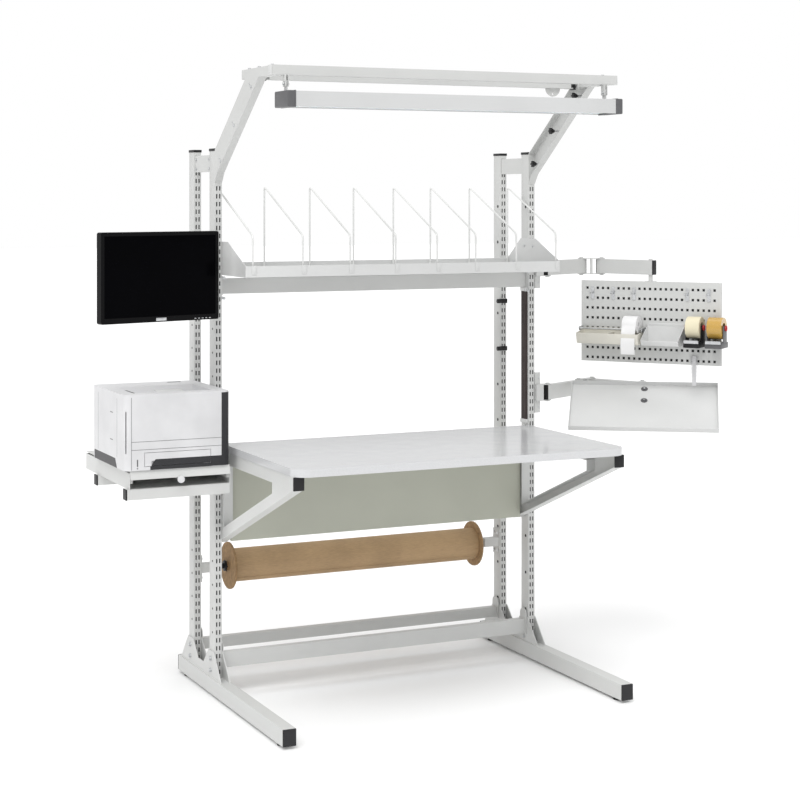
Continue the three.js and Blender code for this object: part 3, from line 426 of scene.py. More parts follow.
def slottedUpright(nodeName):
    low, high = nodeBox(nodeName)
    width = high[0] - low[0]
    count = int((high[2] - low[2]) / upright["pitch"])
    spare = (high[2] - low[2] - count * upright["pitch"]) / 2
    bm = bmesh.new()
    base = low[2] + spare
    verts = addBox(bm, (low[0], low[1], base), (high[0], high[1], base + upright["pitch"]))
    ends = [f for f in bm.faces if abs(f.normal.z) > 0.9]
    bmesh.ops.delete(bm, geom=ends, context="FACES_ONLY")
    roundEdges(bm, verts, upright["corner"], 2, along=2)
    middleZ = (low[2] + spare + upright["pitch"] / 2) * mm
    halfSlot = upright["slotLength"] / 2 * mm
    cuts = [low[0] + s for s in (
        upright["slotFromSide"] - upright["slotWidth"] / 2,
        upright["slotFromSide"] + upright["slotWidth"] / 2,
        width - upright["slotFromSide"] - upright["slotWidth"] / 2,
        width - upright["slotFromSide"] + upright["slotWidth"] / 2)]
    planes = [((x * mm, 0, 0), (1, 0, 0)) for x in cuts]
    planes += [((0, 0, middleZ + side * halfSlot), (0, 0, 1)) for side in (-1, 1)]
    for point, normal in planes:
        everything = bm.verts[:] + bm.edges[:] + bm.faces[:]
        bmesh.ops.bisect_plane(bm, geom=everything, plane_co=point, plane_no=normal)

    def inSlot(face):
        c = face.calc_center_median()
        return abs(face.normal.y) > 0.9 and abs(c.z - middleZ) < halfSlot and any(
            cuts[i] * mm < c.x < cuts[i + 1] * mm for i in (0, 2))

    bm.normal_update()
    bmesh.ops.delete(bm, geom=[f for f in bm.faces if inSlot(f)], context="FACES")
    module = bm.verts[:] + bm.edges[:] + bm.faces[:]
    for i in range(1, count):
        copy = bmesh.ops.duplicate(bm, geom=module)["geom"]
        bmesh.ops.translate(bm, vec=(0, 0, i * upright["pitch"] * mm),
                            verts=[g for g in copy if isinstance(g, bmesh.types.BMVert)])
    bmesh.ops.remove_doubles(bm, verts=bm.verts, dist=0.00002)
    top = low[2] + spare + count * upright["pitch"]
    for v in bm.verts:
        if v.co.z / mm < low[2] + spare + 0.01:
            v.co.z = low[2] * mm
        elif v.co.z / mm > top - 0.01:
            v.co.z = high[2] * mm
    bmesh.ops.recalc_face_normals(bm, faces=bm.faces)
    bmesh.ops.solidify(bm, geom=bm.faces[:], thickness=upright["wall"] * mm)
    bm.normal_update()
    # faces inside the tube get the near-black bare steel: unpainted steel inside, darkened as painted shade
    skin = upright["wall"] * 0.6
    for f in bm.faces:
        c = f.calc_center_median() / mm
        inside = all(low[i] + skin < c[i] < high[i] - skin for i in (0, 1))
        f.material_index = 1 if inside and abs(f.normal.z) < 0.5 else 0
    piece = finishPiece("slotted_" + nodeName, bm, finish["frame"], "station")
    piece.data.materials.append(finish["bareSteelPaintedShade"])
    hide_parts(nodeName)


for nodeName in [n for n in frame["nodes"] if n.startswith("upright_")]:
    slottedUpright(nodeName)
print("uprights slotted")


# caps on open tube ends


cap = {
    "uprightProud": 1.6, "uprightTop": 9.0, "plugGap": 2.4, "plugDepth": 12.0,
    "carrierTubesY": (-155, 230), "stopX": (638, 645.6), "stopY": (-408, -374), "stopZ": (2307, 2344),
    "railY": (-623, -588), "railHeight": 35.0,
}


def uprightCaps():
    bm = bmesh.new()
    for nodeName in [n for n in frame["nodes"] if n.startswith("upright_")]:
        low, high = nodeBox(nodeName)
        proud, gap = cap["uprightProud"], cap["plugGap"]
        made = addBox(bm, (low[0] - proud, low[1] - proud, high[2] - 1),
                      (high[0] + proud, high[1] + proud, high[2] + cap["uprightTop"]))
        roundEdges(bm, made, 1.5, 2)
        addBox(bm, (low[0] + gap, low[1] + gap, high[2] - cap["plugDepth"]),
               (high[0] - gap, high[1] - gap, high[2] + 2))
    finishPiece("upright_caps", bm, finish["black"], "station")


def bracketCaps():
    bm = bmesh.new()
    for side in ("left", "right"):
        low, high = nodeBox("worktop_bracket_" + side)
        made = addBox(bm, (low[0] - 1.5, low[1] - 6, high[2] - 47.5),
                      (high[0] + 1.5, low[1] - 0.3, high[2] + 0.1))
        roundEdges(bm, made, 2.5, 3)
        inner = (low[0] + 3, low[1] + 3, high[2] - 43)
        addBox(bm, (inner[0], low[1] - 3, inner[2]), (high[0] - 3, low[1] + 8, high[2] - 3))
    finishPiece("bracket_caps", bm, finish["black"], "station")


def carrierCaps():
    bm = bmesh.new()
    low = nodeBox("printer_carrier")[0]
    for y in cap["carrierTubesY"]:
        made = addBox(bm, (low[0] - 5, y - 21, low[2] - 1), (low[0] - 0.3, y + 21, low[2] + 39))
        roundEdges(bm, made, 2.0, 3)
    finishPiece("carrier_tube_caps", bm, finish["black"], "station")


def railCaps():
    bm = bmesh.new()
    low, high = nodeBox("canopy_front_rail")
    for x, out in ((low[0], -1), (high[0], 1)):
        xs = sorted((x + out * 0.2, x + out * 3))
        made = addBox(bm, (xs[0], cap["railY"][0], high[2] - cap["railHeight"]),
                      (xs[1], cap["railY"][1], high[2]))
        roundEdges(bm, made, 0.9, 2)
    finishPiece("front_rail_caps", bm, finish["binGrey"], "station")
    bm = bmesh.new()
    for side in (-1, 1):
        xs = sorted(side * x for x in cap["stopX"])
        y, z = cap["stopY"], cap["stopZ"]
        made = addBox(bm, (xs[0], y[0], z[0]), (xs[1], y[1], z[1]))
        roundEdges(bm, made, 1.5, 2)
    finishPiece("tool_rail_stops", bm, finish["black"], "station")


uprightCaps()
bracketCaps()
carrierCaps()
railCaps()
print("caps on")


# lamp: end caps, diffuser

lamp = {"capLength": 27.0, "capLip": 1.6, "bodyHeight": 54.0, "hangerX": 646.0, "boltOut": 6.0}


def lampPieces():
    low, high = nodeBox("light_fixture")
    bodyTop = low[2] + lamp["bodyHeight"]
    for side, x in (("left", low[0]), ("right", high[0])):
        bm = bmesh.new()
        xs = sorted((x - math.copysign(3, x) * -1, x - math.copysign(lamp["capLength"], x)))
        made = addBox(bm, (xs[0], low[1] - lamp["capLip"], low[2] - lamp["capLip"]),
                      (xs[1], high[1] + lamp["capLip"], bodyTop + lamp["capLip"]))
        roundEdges(bm, made, 4.0, 3)
        rib = addBox(bm, (min(xs[0], xs[1]) + 24 if side == "left" else xs[0], low[1] - 2.4, low[2] - 2.4),
                     (xs[1] if side == "left" else xs[0] + 10, high[1] + 2.4, bodyTop + 2.4))
        roundEdges(bm, rib, 1.5, 2)
        finishPiece("lamp_end_cap_" + side, bm, finish["capGrey"], "light")
    bm = bmesh.new()
    made = addBox(bm, (low[0] + 8, low[1] + 2.2, low[2] + 4), (high[0] - 8, high[1] - 2.2, low[2] + 7))
    roundEdges(bm, made, 0.8, 1)
    finishPiece("lamp_diffuser", bm, finish["diffuser"], "light")
    bm = bmesh.new()
    y, z = pivots["light_tilt"].y / mm, pivots["light_tilt"].z / mm
    for x in (-lamp["hangerX"], lamp["hangerX"]):
        for out in (-1, 1):
            addHexBolt(bm, (x + out * lamp["boltOut"], y, z), "x", out, across=9, head=4, washer=8)
    finishPiece("lamp_hinge_bolts", bm, finish["zinc"], "station", bevel=0.3)


lampPieces()
print("lamp finished")


# star knobs and bolts on the canopy arms

canopy = {
    "knobRadius": 11.0, "knobHeight": 12.0, "knobX": 645.0, "lobes": 5,
    "knobPlaces": ((-70, 2024), (-216, 2153), (-395, 2284)),
    "armOuter": 692.0, "boltX": 674.0, "topZ": 2350.0, "underZ": 2315.0,
    "topBoltsY": (-330, -430, -560), "underBoltsY": (-350, -440),
}


def canopyFittings():
    knobs = bmesh.new()
    bolts = bmesh.new()
    x = canopy["knobX"]
    for y, z in canopy["knobPlaces"]:
        addRod(knobs, canopy["knobRadius"] * 0.55, 10, (x + 9, y, z), "x", 20)
        hub = addRod(knobs, canopy["knobRadius"] * 0.7, canopy["knobHeight"], (x, y, z), "x", 24)
        roundEdges(knobs, hub, 1.5, 2)
        for i in range(canopy["lobes"]):
            a = tau * i / canopy["lobes"]
            spread = canopy["knobRadius"] * 0.8
            lobe = (x, y + spread * math.cos(a), z + spread * math.sin(a))
            made = addRod(knobs, 4.2, canopy["knobHeight"], lobe, "x", 16)
            roundEdges(knobs, made, 1.2, 2)
        addRod(bolts, 4, 26, (x + 27, y, z), "x", 16)
        for out in (-1, 1):
            outer = out * canopy["armOuter"]
            addDomeBolt(bolts, (outer, y, z), "x", out, radius=6, head=3)
            addDomeBolt(bolts, (outer, y + 15, z + 11), "x", out, radius=3.2, head=2)
    for boltX in (-canopy["boltX"], canopy["boltX"]):
        for y in canopy["topBoltsY"]:
            addHexBolt(bolts, (boltX, y, canopy["topZ"]), "z", 1, across=10, head=5, washer=8)
        for y in canopy["underBoltsY"]:
            addHexBolt(bolts, (boltX, y, canopy["underZ"]), "z", -1, across=10, head=5, washer=8)
    finishPiece("canopy_star_knobs", knobs, finish["black"], "station")
    finishPiece("canopy_bolts", bolts, finish["zinc"], "station", bevel=0.3)


canopyFittings()


# bolts at the feet, beams, brackets and shelf

bolt = {
    "innerX": 662.0, "outerX": 692.0, "plate": 4.3,
    "legY": (30, 272), "legZ": (96, 140),
    "tieX": 687.5, "tieY": (75, 227), "tieZ": (1998, 2034),
    "beamX": 657.0, "beamY": (-8, 14), "beamZ": (1507, 1584),
    "bracketX": 658.7, "bracketY": (14, 44), "bracketZ": (860, 660),
    "rollX": 657.5, "rollY": (255, 289), "rollZ": (400, 474),
    "shelfX": 659.5, "shelfPlaces": ((-40, 1690), (30, 1690), (30, 1620), (-170, 1625), (120, 1625)),
}


def frameBolts():
    bm = bmesh.new()
    b = bolt
    for side in (-1, 1):
        outer, inner = side * (b["outerX"] + b["plate"]), side * (b["innerX"] - b["plate"])
        for y in b["legY"]:
            for z in b["legZ"]:
                addHexBolt(bm, (outer, y, z), "x", side, across=13, head=6, washer=10)
                addDomeBolt(bm, (inner, y, z - 10), "x", -side, radius=7, head=4)
        for y in b["tieY"]:
            for z in b["tieZ"]:
                addDomeBolt(bm, (side * b["tieX"], y, z), "x", side, radius=6, head=3)
    for y in b["beamY"]:
        for side in (-1, 1):
            for z in b["beamZ"]:
                addHexBolt(bm, (side * b["beamX"], y, z), "y", -1, across=8, head=4, washer=6)
    for side in (-1, 1):
        for z in b["bracketZ"]:
            for y in b["bracketY"]:
                addDomeBolt(bm, (side * b["bracketX"], y, z), "x", -side, radius=7, head=4)
        for y in b["rollY"]:
            for z in b["rollZ"]:
                addDomeBolt(bm, (side * b["rollX"], y, z), "x", -side, radius=6, head=4)
        for y, z in b["shelfPlaces"]:
            addDomeBolt(bm, (side * b["shelfX"], y, z), "x", -side, radius=5, head=3)
    finishPiece("frame_bolts", bm, finish["zinc"], "station", bevel=0.3)


frameBolts()


hub = {"radius": 21.0, "length": 9.0, "noseRadius": 10.5, "noseLength": 12.0, "ribs": 6, "ribCircle": 22.0}
looseEdge = {"radius": 60.2, "thick": 1.6, "from": -30.0, "to": -22.0, "turn": -24.0}


def rollHubs():
    low, high = nodeBox("paper_roll")
    y, z = pivots["roll_spin"].y / mm, pivots["roll_spin"].z / mm
    bm = bmesh.new()
    for side, x in ((-1, nodeBox("roll_flange_left")[0][0]), (1, nodeBox("roll_flange_right")[1][0])):
        made = addRod(bm, hub["radius"], hub["length"], (x + side * 4.8, y, z), "x", 32)
        roundEdges(bm, made, 2, 2)
        addRod(bm, hub["noseRadius"], hub["noseLength"], (x + side * 14, y, z), "x", 24)
        for i in range(hub["ribs"]):
            a = tau * i / hub["ribs"]
            ribY, ribZ = y + hub["ribCircle"] * math.cos(a), z + hub["ribCircle"] * math.sin(a)
            addBox(bm, (x + side - 1, ribY - 2, ribZ - 2), (x + side + 1, ribY + 2, ribZ + 2))
    finishPiece("roll_hub_caps", bm, finish["black"], "roll")
    bm = bmesh.new()
    e = looseEdge
    addBox(bm, (low[0] + 1, y + e["from"], z - e["radius"]),
           (high[0] - 1, y + e["to"], z - e["radius"] + e["thick"]))
    axis = Matrix.Translation((0, y * mm, z * mm))
    turn = axis @ Matrix.Rotation(math.radians(e["turn"]), 4, "X") @ axis.inverted()
    bmesh.ops.transform(bm, matrix=turn, verts=bm.verts)
    finishPiece("paper_loose_edge", bm, finish["kraft"], "roll")


rollHubs()


armPlate = {
    "levels": (1599, 1088), "outerX": 692.0, "plate": 4.5, "acrossY": (16, 44), "sideZ": (-66, 66),
    "foldX": 709.0, "foldY": -2.2, "foldZ": (-60, -20, 20, 60),
    "screenLevel": 1602, "screenZ": (-42, 42),
    "carrierY": (-60, 30, 272), "carrierZ": 815, "carrierPlate": 3.6,
}


def armPlateBolts():
    bm = bmesh.new()
    a = armPlate
    for z in a["levels"]:
        for dz in a["sideZ"]:
            for y in a["acrossY"]:
                addHexBolt(bm, (a["outerX"] + a["plate"], y, z + dz), "x", 1, across=10, head=5, washer=8)
        for dz in a["foldZ"]:
            addDomeBolt(bm, (a["foldX"], a["foldY"], z + dz), "y", -1, radius=3.5, head=2)
    for dz in a["screenZ"]:
        for y in a["acrossY"]:
            place = (-a["outerX"] - a["plate"], y, a["screenLevel"] + dz)
            addHexBolt(bm, place, "x", -1, across=10, head=5, washer=8)
    for y in a["carrierY"]:
        place = (-a["outerX"] - a["carrierPlate"], y, a["carrierZ"])
        addHexBolt(bm, place, "x", -1, across=10, head=5, washer=8)
    finishPiece("arm_plate_bolts", bm, finish["zinc"], "station", bevel=0.3)


armPlateBolts()
print("bolts in")


# black caps on the arm tubes, with plugs into the tube ends

arm = {
    "pitch": 245.0, "tail": 16.0, "width": 30.0, "height": 60.0, "cap": 3.0,
    "screenPitch": 310.0, "screenHeight": 40.0,
}


def placeAt(pivotName, towards=None, yaw=None):
    start = pivots[pivotName]
    angle = math.radians(yaw) if yaw is not None else math.atan2(
        pivots[towards].y - start.y, pivots[towards].x - start.x)
    return Matrix.Translation(start) @ Matrix.Rotation(angle, 4, "Z")


def armCaps(name, body, place, pitch, height, wallEnd=True):
    bm = bmesh.new()
    h, w = height / 2, arm["width"] / 2
    ends = [(pitch + arm["tail"], 1)]
    if wallEnd:
        ends.append((-arm["tail"], -1))
    for x, out in ends:
        xs = sorted((x + out * 0.2, x + out * arm["cap"]))
        made = addBox(bm, (xs[0], -w, -h), (xs[1], w, h))
        roundEdges(bm, made, 1.2, 2)
        xs = sorted((x - out * 10, x + out * 0.3))
        addBox(bm, (xs[0], -w + 2.8, -h + 2.8), (xs[1], w - 2.8, h - 2.8))
    finishPiece(name + "_end_caps", bm, finish["black"], body, place=place)


for level, tip in (("upper", "board_swivel"), ("lower", "tray_swivel")):
    inner = placeAt(level + "_arm_wall", level + "_arm_elbow_inner")
    outer = placeAt(level + "_arm_elbow_outer", tip)
    armCaps(level + "_arm_inner", level + "_inner", inner, arm["pitch"], arm["height"])
    armCaps(level + "_arm_outer", level + "_outer", outer, arm["pitch"], arm["height"])
screenArm = placeAt("screen_arm_wall", "screen_swivel")
armCaps("monitor_arm", "screen_arm", screenArm, arm["screenPitch"], arm["screenHeight"], wallEnd=False)


# perforated board with its hooks, bins and dispensers

boardSheet = {
    "width": 604.0, "top": -58.0, "height": 337.0, "fold": 16.0, "wall": 2.0, "yaw": -52.0,
    "columnPitch": 22.9, "rowPitch": 41.4, "columns": 25, "rows": 8, "hole": 10.4, "firstRow": 30.6,
}
boardPlace = placeAt("board_swivel", yaw=boardSheet["yaw"])


def perforatedBoard():
    b = boardSheet
    bm = bmesh.new()
    front = -b["fold"] / 2
    cell = bmesh.ops.create_grid(bm, x_segments=3, y_segments=3, size=0.5)["verts"]
    third = 1 / 6
    for v in cell:
        x = -0.5 if v.co.x < -0.4 else 0.5 if v.co.x > 0.4 else math.copysign(third, v.co.x)
        z = -0.5 if v.co.y < -0.4 else 0.5 if v.co.y > 0.4 else math.copysign(third, v.co.y)
        x = x * b["columnPitch"] if abs(x) > 0.4 else math.copysign(b["hole"] / 2, x)
        z = z * b["rowPitch"] if abs(z) > 0.4 else math.copysign(b["hole"] / 2, z)
        v.co = Vector((x * mm, front * mm, z * mm))
    hole = min(bm.faces, key=lambda f: (f.calc_center_median() - Vector((0, front * mm, 0))).length)
    bmesh.ops.delete(bm, geom=[hole], context="FACES")
    unit = bm.verts[:] + bm.edges[:] + bm.faces[:]
    spanX = b["columns"] * b["columnPitch"]
    for i in range(b["columns"]):
        for k in range(b["rows"]):
            if i == 0 and k == 0:
                continue
            copy = bmesh.ops.duplicate(bm, geom=unit)["geom"]
            bmesh.ops.translate(bm, vec=(i * b["columnPitch"] * mm, 0, k * b["rowPitch"] * mm),
                                verts=[g for g in copy if isinstance(g, bmesh.types.BMVert)])
    bmesh.ops.remove_doubles(bm, verts=bm.verts, dist=0.00002)
    left = -spanX / 2 + b["columnPitch"] / 2
    low = b["top"] - b["firstRow"] - (b["rows"] - 1) * b["rowPitch"]
    bmesh.ops.translate(bm, vec=(left * mm, 0, low * mm), verts=bm.verts)

    def rimOf(side, sign):
        edges = [e for e in bm.edges if e.is_boundary]
        limit = max(sign * v.co[side] for v in bm.verts)
        return [e for e in edges if all(sign * v.co[side] > limit - 0.0001 for v in e.verts)]

    targets = ((0, -1, -b["width"] / 2), (0, 1, b["width"] / 2),
               (2, -1, b["top"] - b["height"]), (2, 1, b["top"]))
    cropped = [v for v in bm.verts if v.co.z < (b["top"] - b["height"]) * mm]
    for v in cropped:
        v.co.z = (b["top"] - b["height"] + 2) * mm
    for side, sign, goal in targets:
        made = bmesh.ops.extrude_edge_only(bm, edges=rimOf(side, sign))["geom"]
        for v in [g for g in made if isinstance(g, bmesh.types.BMVert)]:
            v.co[side] = goal * mm
    for side, sign, goal in targets:
        made = bmesh.ops.extrude_edge_only(bm, edges=rimOf(side, sign))["geom"]
        for v in [g for g in made if isinstance(g, bmesh.types.BMVert)]:
            v.co.y = -front * mm
    bmesh.ops.remove_doubles(bm, verts=bm.verts, dist=0.00002)
    bmesh.ops.recalc_face_normals(bm, faces=bm.faces)
    outward = sum(f.normal.y for f in bm.faces if abs(f.normal.y) > 0.9)
    if outward > 0:
        bmesh.ops.reverse_faces(bm, faces=bm.faces)
    bmesh.ops.solidify(bm, geom=bm.faces[:], thickness=b["wall"] * mm)
    addRod(bm, 9, 30, (0, 0, -45), "z")
    addRod(bm, 6, 66, (0, 0, 0), "z")
    addRod(bm, 9, 4, (0, 0, 33), "z", sides=6)
    clamp = addBox(bm, (-24, -6, b["top"] - 26), (24, 8, b["top"] + 2))
    roundEdges(bm, clamp, 2, 2)
    piece = finishPiece("perforated_tool_board", bm, finish["frame"], "board", place=boardPlace)
    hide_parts("perforated_board")


perforatedBoard()


def backSheet(name, front, look):
    b = boardSheet
    bm = bmesh.new()
    made = addBox(bm, (-b["width"] / 2 + 2.4, front, b["top"] - b["height"] + 2.4),
                  (b["width"] / 2 - 2.4, front + 1, b["top"] - 2.4))
    roundEdges(bm, made, 0.5, 1)
    finishPiece(name, bm, finish[look], "board", place=boardPlace)


# black sheet behind the holes is painted shade for the dark inside of the holes; the grey sheet behind it is
# the board's back
backSheet("board_hole_painted_shade", -5.4, "black")
backSheet("board_rear_sheet", -4.2, "frame")

hook = {"columns": (1, 5, 9, 19, 23), "plateWidth": 15.0, "reach": 26.0, "wire": 1.8}


def boardHooks():
    b = boardSheet
    bm = bmesh.new()
    left = -b["columns"] * b["columnPitch"] / 2 + b["columnPitch"] / 2
    topRow = b["top"] - b["firstRow"]
    front = -b["fold"] / 2
    for column in hook["columns"]:
        x = left + column * b["columnPitch"]
        w = hook["plateWidth"] / 2
        plate = addBox(bm, (x - w, front - 2.2, topRow - b["rowPitch"] - 6),
                       (x + w, front - 0.3, topRow + 6))
        roundEdges(bm, plate, 0.6, 1)
        for dx in (-4, 4):
            addRod(bm, hook["wire"], hook["reach"], (x + dx, front - hook["reach"] / 2, topRow - 22), "y", 10)
            addRod(bm, hook["wire"], 12, (x + dx, front - hook["reach"], topRow - 17.5), "z", 10)
            addRod(bm, hook["wire"], 12, (x + dx, front + 3, topRow + 0), "y", 10)
    finishPiece("board_hooks", bm, finish["zinc"], "board", place=boardPlace, bevel=0.2)


boardHooks()

bins = {"low": -316.0, "high": -262.0, "deep": 84.0, "wall": 2.0}


def openTray(name, left, right, low, high, frontHigh, look, divider=None):
    front = -boardSheet["fold"] / 2 - 0.4
    out = front - bins["deep"]
    bm = bmesh.new()
    made = addBox(bm, (left, out, low), (right, front, high))
    for v in made:
        if v.co.z > (high - 1) * mm and v.co.y < (out + 1) * mm:
            v.co.z = frontHigh * mm
            v.co.y -= 10 * mm
    bm.normal_update()
    lid = [f for f in bm.faces if f.normal.z > 0.5]
    bmesh.ops.delete(bm, geom=lid, context="FACES_ONLY")
    corners = [e for e in bm.edges if not e.is_boundary]
    bmesh.ops.bevel(bm, geom=corners, offset=4 * mm, offset_type="OFFSET", segments=2, profile=0.5,
                    affect="EDGES", clamp_overlap=True, material=-1)
    bmesh.ops.recalc_face_normals(bm, faces=bm.faces)
    bmesh.ops.solidify(bm, geom=bm.faces[:], thickness=bins["wall"] * mm)
    hanger = addBox(bm, (left + 1, front - 2.5, high - 3), (right - 1, front + 0.2, high + 9))
    roundEdges(bm, hanger, 0.9, 2)
    if divider is not None:
        wall = addBox(bm, (divider - 1, out + 3, low + 2), (divider + 1, front - 2, high - 8))
        roundEdges(bm, wall, 0.6, 1)
    finishPiece(name, bm, look, "board", place=boardPlace, bevel=0.4)


def boardBins():
    front = -boardSheet["fold"] / 2 - 0.4
    openTray("board_trough", -292, -22, bins["low"], bins["high"], bins["high"] - 10,
             finish["ivory"], divider=-155)
    openTray("board_shelf_bin", -10, 150, bins["low"], bins["high"] + 26, bins["low"] + 20,
             finish["binGrey"])
    bm = bmesh.new()
    addRod(bm, 4, 272, (-157, front - 40, bins["high"] + 6), "x", 16)
    for x in (-294, -20):
        cheek = addBox(bm, (x - 1.2, front - 48, bins["high"] - 4),
                       (x + 1.2, front, bins["high"] + 14))
        roundEdges(bm, cheek, 0.8, 1)
        addRod(bm, 7, 5, (x, front - 40, bins["high"] + 6), "x", 20)
    finishPiece("label_spindle", bm, finish["zinc"], "board", place=boardPlace, bevel=0.3)
    bm = bmesh.new()
    addTube(bm, 36, 12, 62, (-65, front - 40, bins["high"] + 26), "x")
    strip = bmesh.ops.create_grid(bm, x_segments=2, y_segments=14, size=0.5)["verts"]
    for v in strip:
        share = v.co.y + 0.5
        drop = 118 * share
        v.co = Vector(((-65 + v.co.x * 60) * mm,
                       (front - 76.5 - 16 * math.sin(share * 2.4)) * mm,
                       (bins["high"] + 26 - drop) * mm))
    sheetFaces = list({f for v in strip for f in v.link_faces})
    bmesh.ops.solidify(bm, geom=sheetFaces, thickness=0.8 * mm)
    finishPiece("label_roll", bm, finish["paper"], "board", place=boardPlace, bevel=0.2)


boardBins()

dispenser = {"low": -318.0, "axis": -238.0, "wall": 3.0}


def tapeDispenser(name, left, right, outer, core, tape, base):
    front = -boardSheet["fold"] / 2 - 0.4
    d = dispenser
    bm = bmesh.new()
    foot = addBox(bm, (left, front - 94, d["low"]), (right, front, d["low"] + 24))
    roundEdges(bm, foot, 3, 2)
    for x in (left + d["wall"] / 2, right - d["wall"] / 2):
        cheek = addBox(bm, (x - d["wall"] / 2, front - 66, d["low"] + 18),
                       (x + d["wall"] / 2, front - 18, d["axis"] + 10))
        roundEdges(bm, cheek, 1.1, 2)
        addRod(bm, 9, d["wall"] + 2, (x, front - 42, d["axis"]), "x", 24)
    finishPiece(name + "_base", bm, base, "board", place=boardPlace)
    bm = bmesh.new()
    teeth = 14
    blade = addBox(bm, (left + 3, front - 98, d["low"] + 18), (right - 3, front - 94.5, d["low"] + 30))
    roundEdges(bm, blade, 0.6, 1)
    for i in range(teeth):
        x = left + 5 + (right - left - 10) * (i + 0.5) / teeth
        addRod(bm, 1.5, 4, (x, front - 96.5, d["low"] + 31.5), "z", 4, taper=0.1)
    finishPiece(name + "_blade", bm, finish["zinc"], "board", place=boardPlace)
    bm = bmesh.new()
    middle = ((left + right) / 2, front - 42, d["axis"])
    addTube(bm, outer, core, right - left - 2 * d["wall"] - 4, middle, "x")
    finishPiece(name + "_tape", bm, tape, "board", place=boardPlace, bevel=0.6)
    bm = bmesh.new()
    for x, out in ((left, -1), (right, 1)):
        knob = addRod(bm, 12, 6, (x + out * 3.4, front - 42, d["axis"]), "x", 28)
        roundEdges(bm, knob, 1.5, 2)
        grip = addBox(bm, (min(x + out * 6, x + out * 9), front - 44, d["axis"] - 9),
                      (max(x + out * 6, x + out * 9), front - 40, d["axis"] + 9))
        roundEdges(bm, grip, 0.8, 1)
    finishPiece(name + "_knobs", bm, finish["red"], "board", place=boardPlace)


tapeDispenser("dispenser_cream", 172, 240, 44, 22, finish["cream"], finish["black"])
tapeDispenser("dispenser_amber", 262, 332, 44, 22, finish["amber"], finish["capGrey"])


strip = {
    "x": 190.0, "y": -12.0, "top": -356.0, "low": -478.0, "half": 8.0,
    "teeth": 22, "pitch": 5.4, "tooth": 2.6, "narrow": 9.0, "wide": 17.0,
}


def toothedStrip():
    bm = bmesh.new()
    x, y, low = strip["x"], strip["y"], strip["low"]
    body = addBox(bm, (x - strip["half"], y - 1, low), (x + strip["half"], y + 1, strip["top"]))
    roundEdges(bm, body, 0.6, 1)
    for i in range(strip["teeth"]):
        z = low + 3 + i * strip["pitch"]
        half = strip["narrow"] + (strip["wide"] - strip["narrow"]) * i / (strip["teeth"] - 1)
        tooth = addBox(bm, (x - half, y - 1.4, z), (x + half, y + 1.4, z + strip["tooth"]))
        roundEdges(bm, tooth, 0.5, 1)
    finishPiece("toothed_strip", bm, finish["printerWhite"], "board", place=boardPlace)


toothedStrip()
print("board dressed")


# tilted tray: washers and screws

tray = {"yaw": -34.0, "tilt": 31.5, "behind": 40.0, "shift": 10.0, "screwsY": (-28, -105)}
trayPlace = (
    placeAt("tray_swivel", yaw=tray["yaw"])
    @ Matrix.Translation((tray["shift"] * mm, -tray["behind"] * mm, 20 * mm))
    @ Matrix.Rotation(math.radians(tray["tilt"]), 4, "X")
)


def trayFittings():
    bm = bmesh.new()
    for y in tray["screwsY"]:
        made = addRod(bm, 14, 2.2, (0, y, 3.3), "z", 32)
        roundEdges(bm, made, 0.6, 2)
        addRod(bm, 7, 3, (0, y, 5.5), "z", 28)
    finishPiece("tray_washers", bm, finish["capGrey"], "tray", place=trayPlace, bevel=0.3)
    bm = bmesh.new()
    for y in tray["screwsY"]:
        addRod(bm, 4.2, 2, (0, y, 7.6), "z", 6)
        addHexBolt(bm, (0, y, 0), "z", -1, across=10, head=5, washer=9)
    finishPiece("tray_screws", bm, finish["zinc"], "tray", place=trayPlace, bevel=0.2)


trayFittings()
print("tray dressed")


# screen: glass, buttons, vents and bolts on the back

screen = {
    "width": 505.0, "height": 325.0, "front": -96.0, "yaw": 16.0, "side": 14.0, "top": 14.0, "chin": 20.0,
}
screenPlace = placeAt("screen_swivel", yaw=screen["yaw"])


def screenPieces():
    s = screen
    halfW, halfH = s["width"] / 2, s["height"] / 2
    bm = bmesh.new()
    made = addBox(bm, (-halfW + s["side"] + 0.3, s["front"] + 0.9, -halfH + s["chin"] + 0.3),
                  (halfW - s["side"] - 0.3, s["front"] + 1.8, halfH - s["top"] - 0.3))
    roundEdges(bm, made, 0.4, 1)
    finishPiece("screen_glass", bm, finish["screenGlass"], "screen", place=screenPlace)
    bm = bmesh.new()
    for i in range(5):
        x = halfW - 40 - i * 16
        made = addBox(bm, (x - 4, s["front"] - 0.7, -halfH + 5), (x + 4, s["front"] + 0.5, -halfH + 8))
        roundEdges(bm, made, 0.5, 2)
    plate = addBox(bm, (-22, s["front"] - 0.6, -halfH + 4), (22, s["front"] + 0.4, -halfH + 15))
    roundEdges(bm, plate, 0.4, 2)
    finishPiece("screen_buttons", bm, finish["zinc"], "screen", place=screenPlace)
    bm = bmesh.new()
    for i in range(14):
        x = -91 + i * 14
        slot = addBox(bm, (x - 4, -46.4, 70), (x + 4, -45.4, 84))
        roundEdges(bm, slot, 0.4, 1)
    for x in (-42, 42):
        for z in (-42, 42):
            addHexBolt(bm, (x, -43, z), "y", 1, across=7, head=3, washer=6)
    finishPiece("screen_back_details", bm, finish["capGrey"], "screen", place=screenPlace)


screenPieces()
print("screen finished")


# printer: dark trim, seams, output parts with a painted shade block in the top recess, buttons, grip of the
# cassette

printer = {"proud": 0.5, "cornerRadius": 24.0, "base": 38.0, "seam": 1.4}


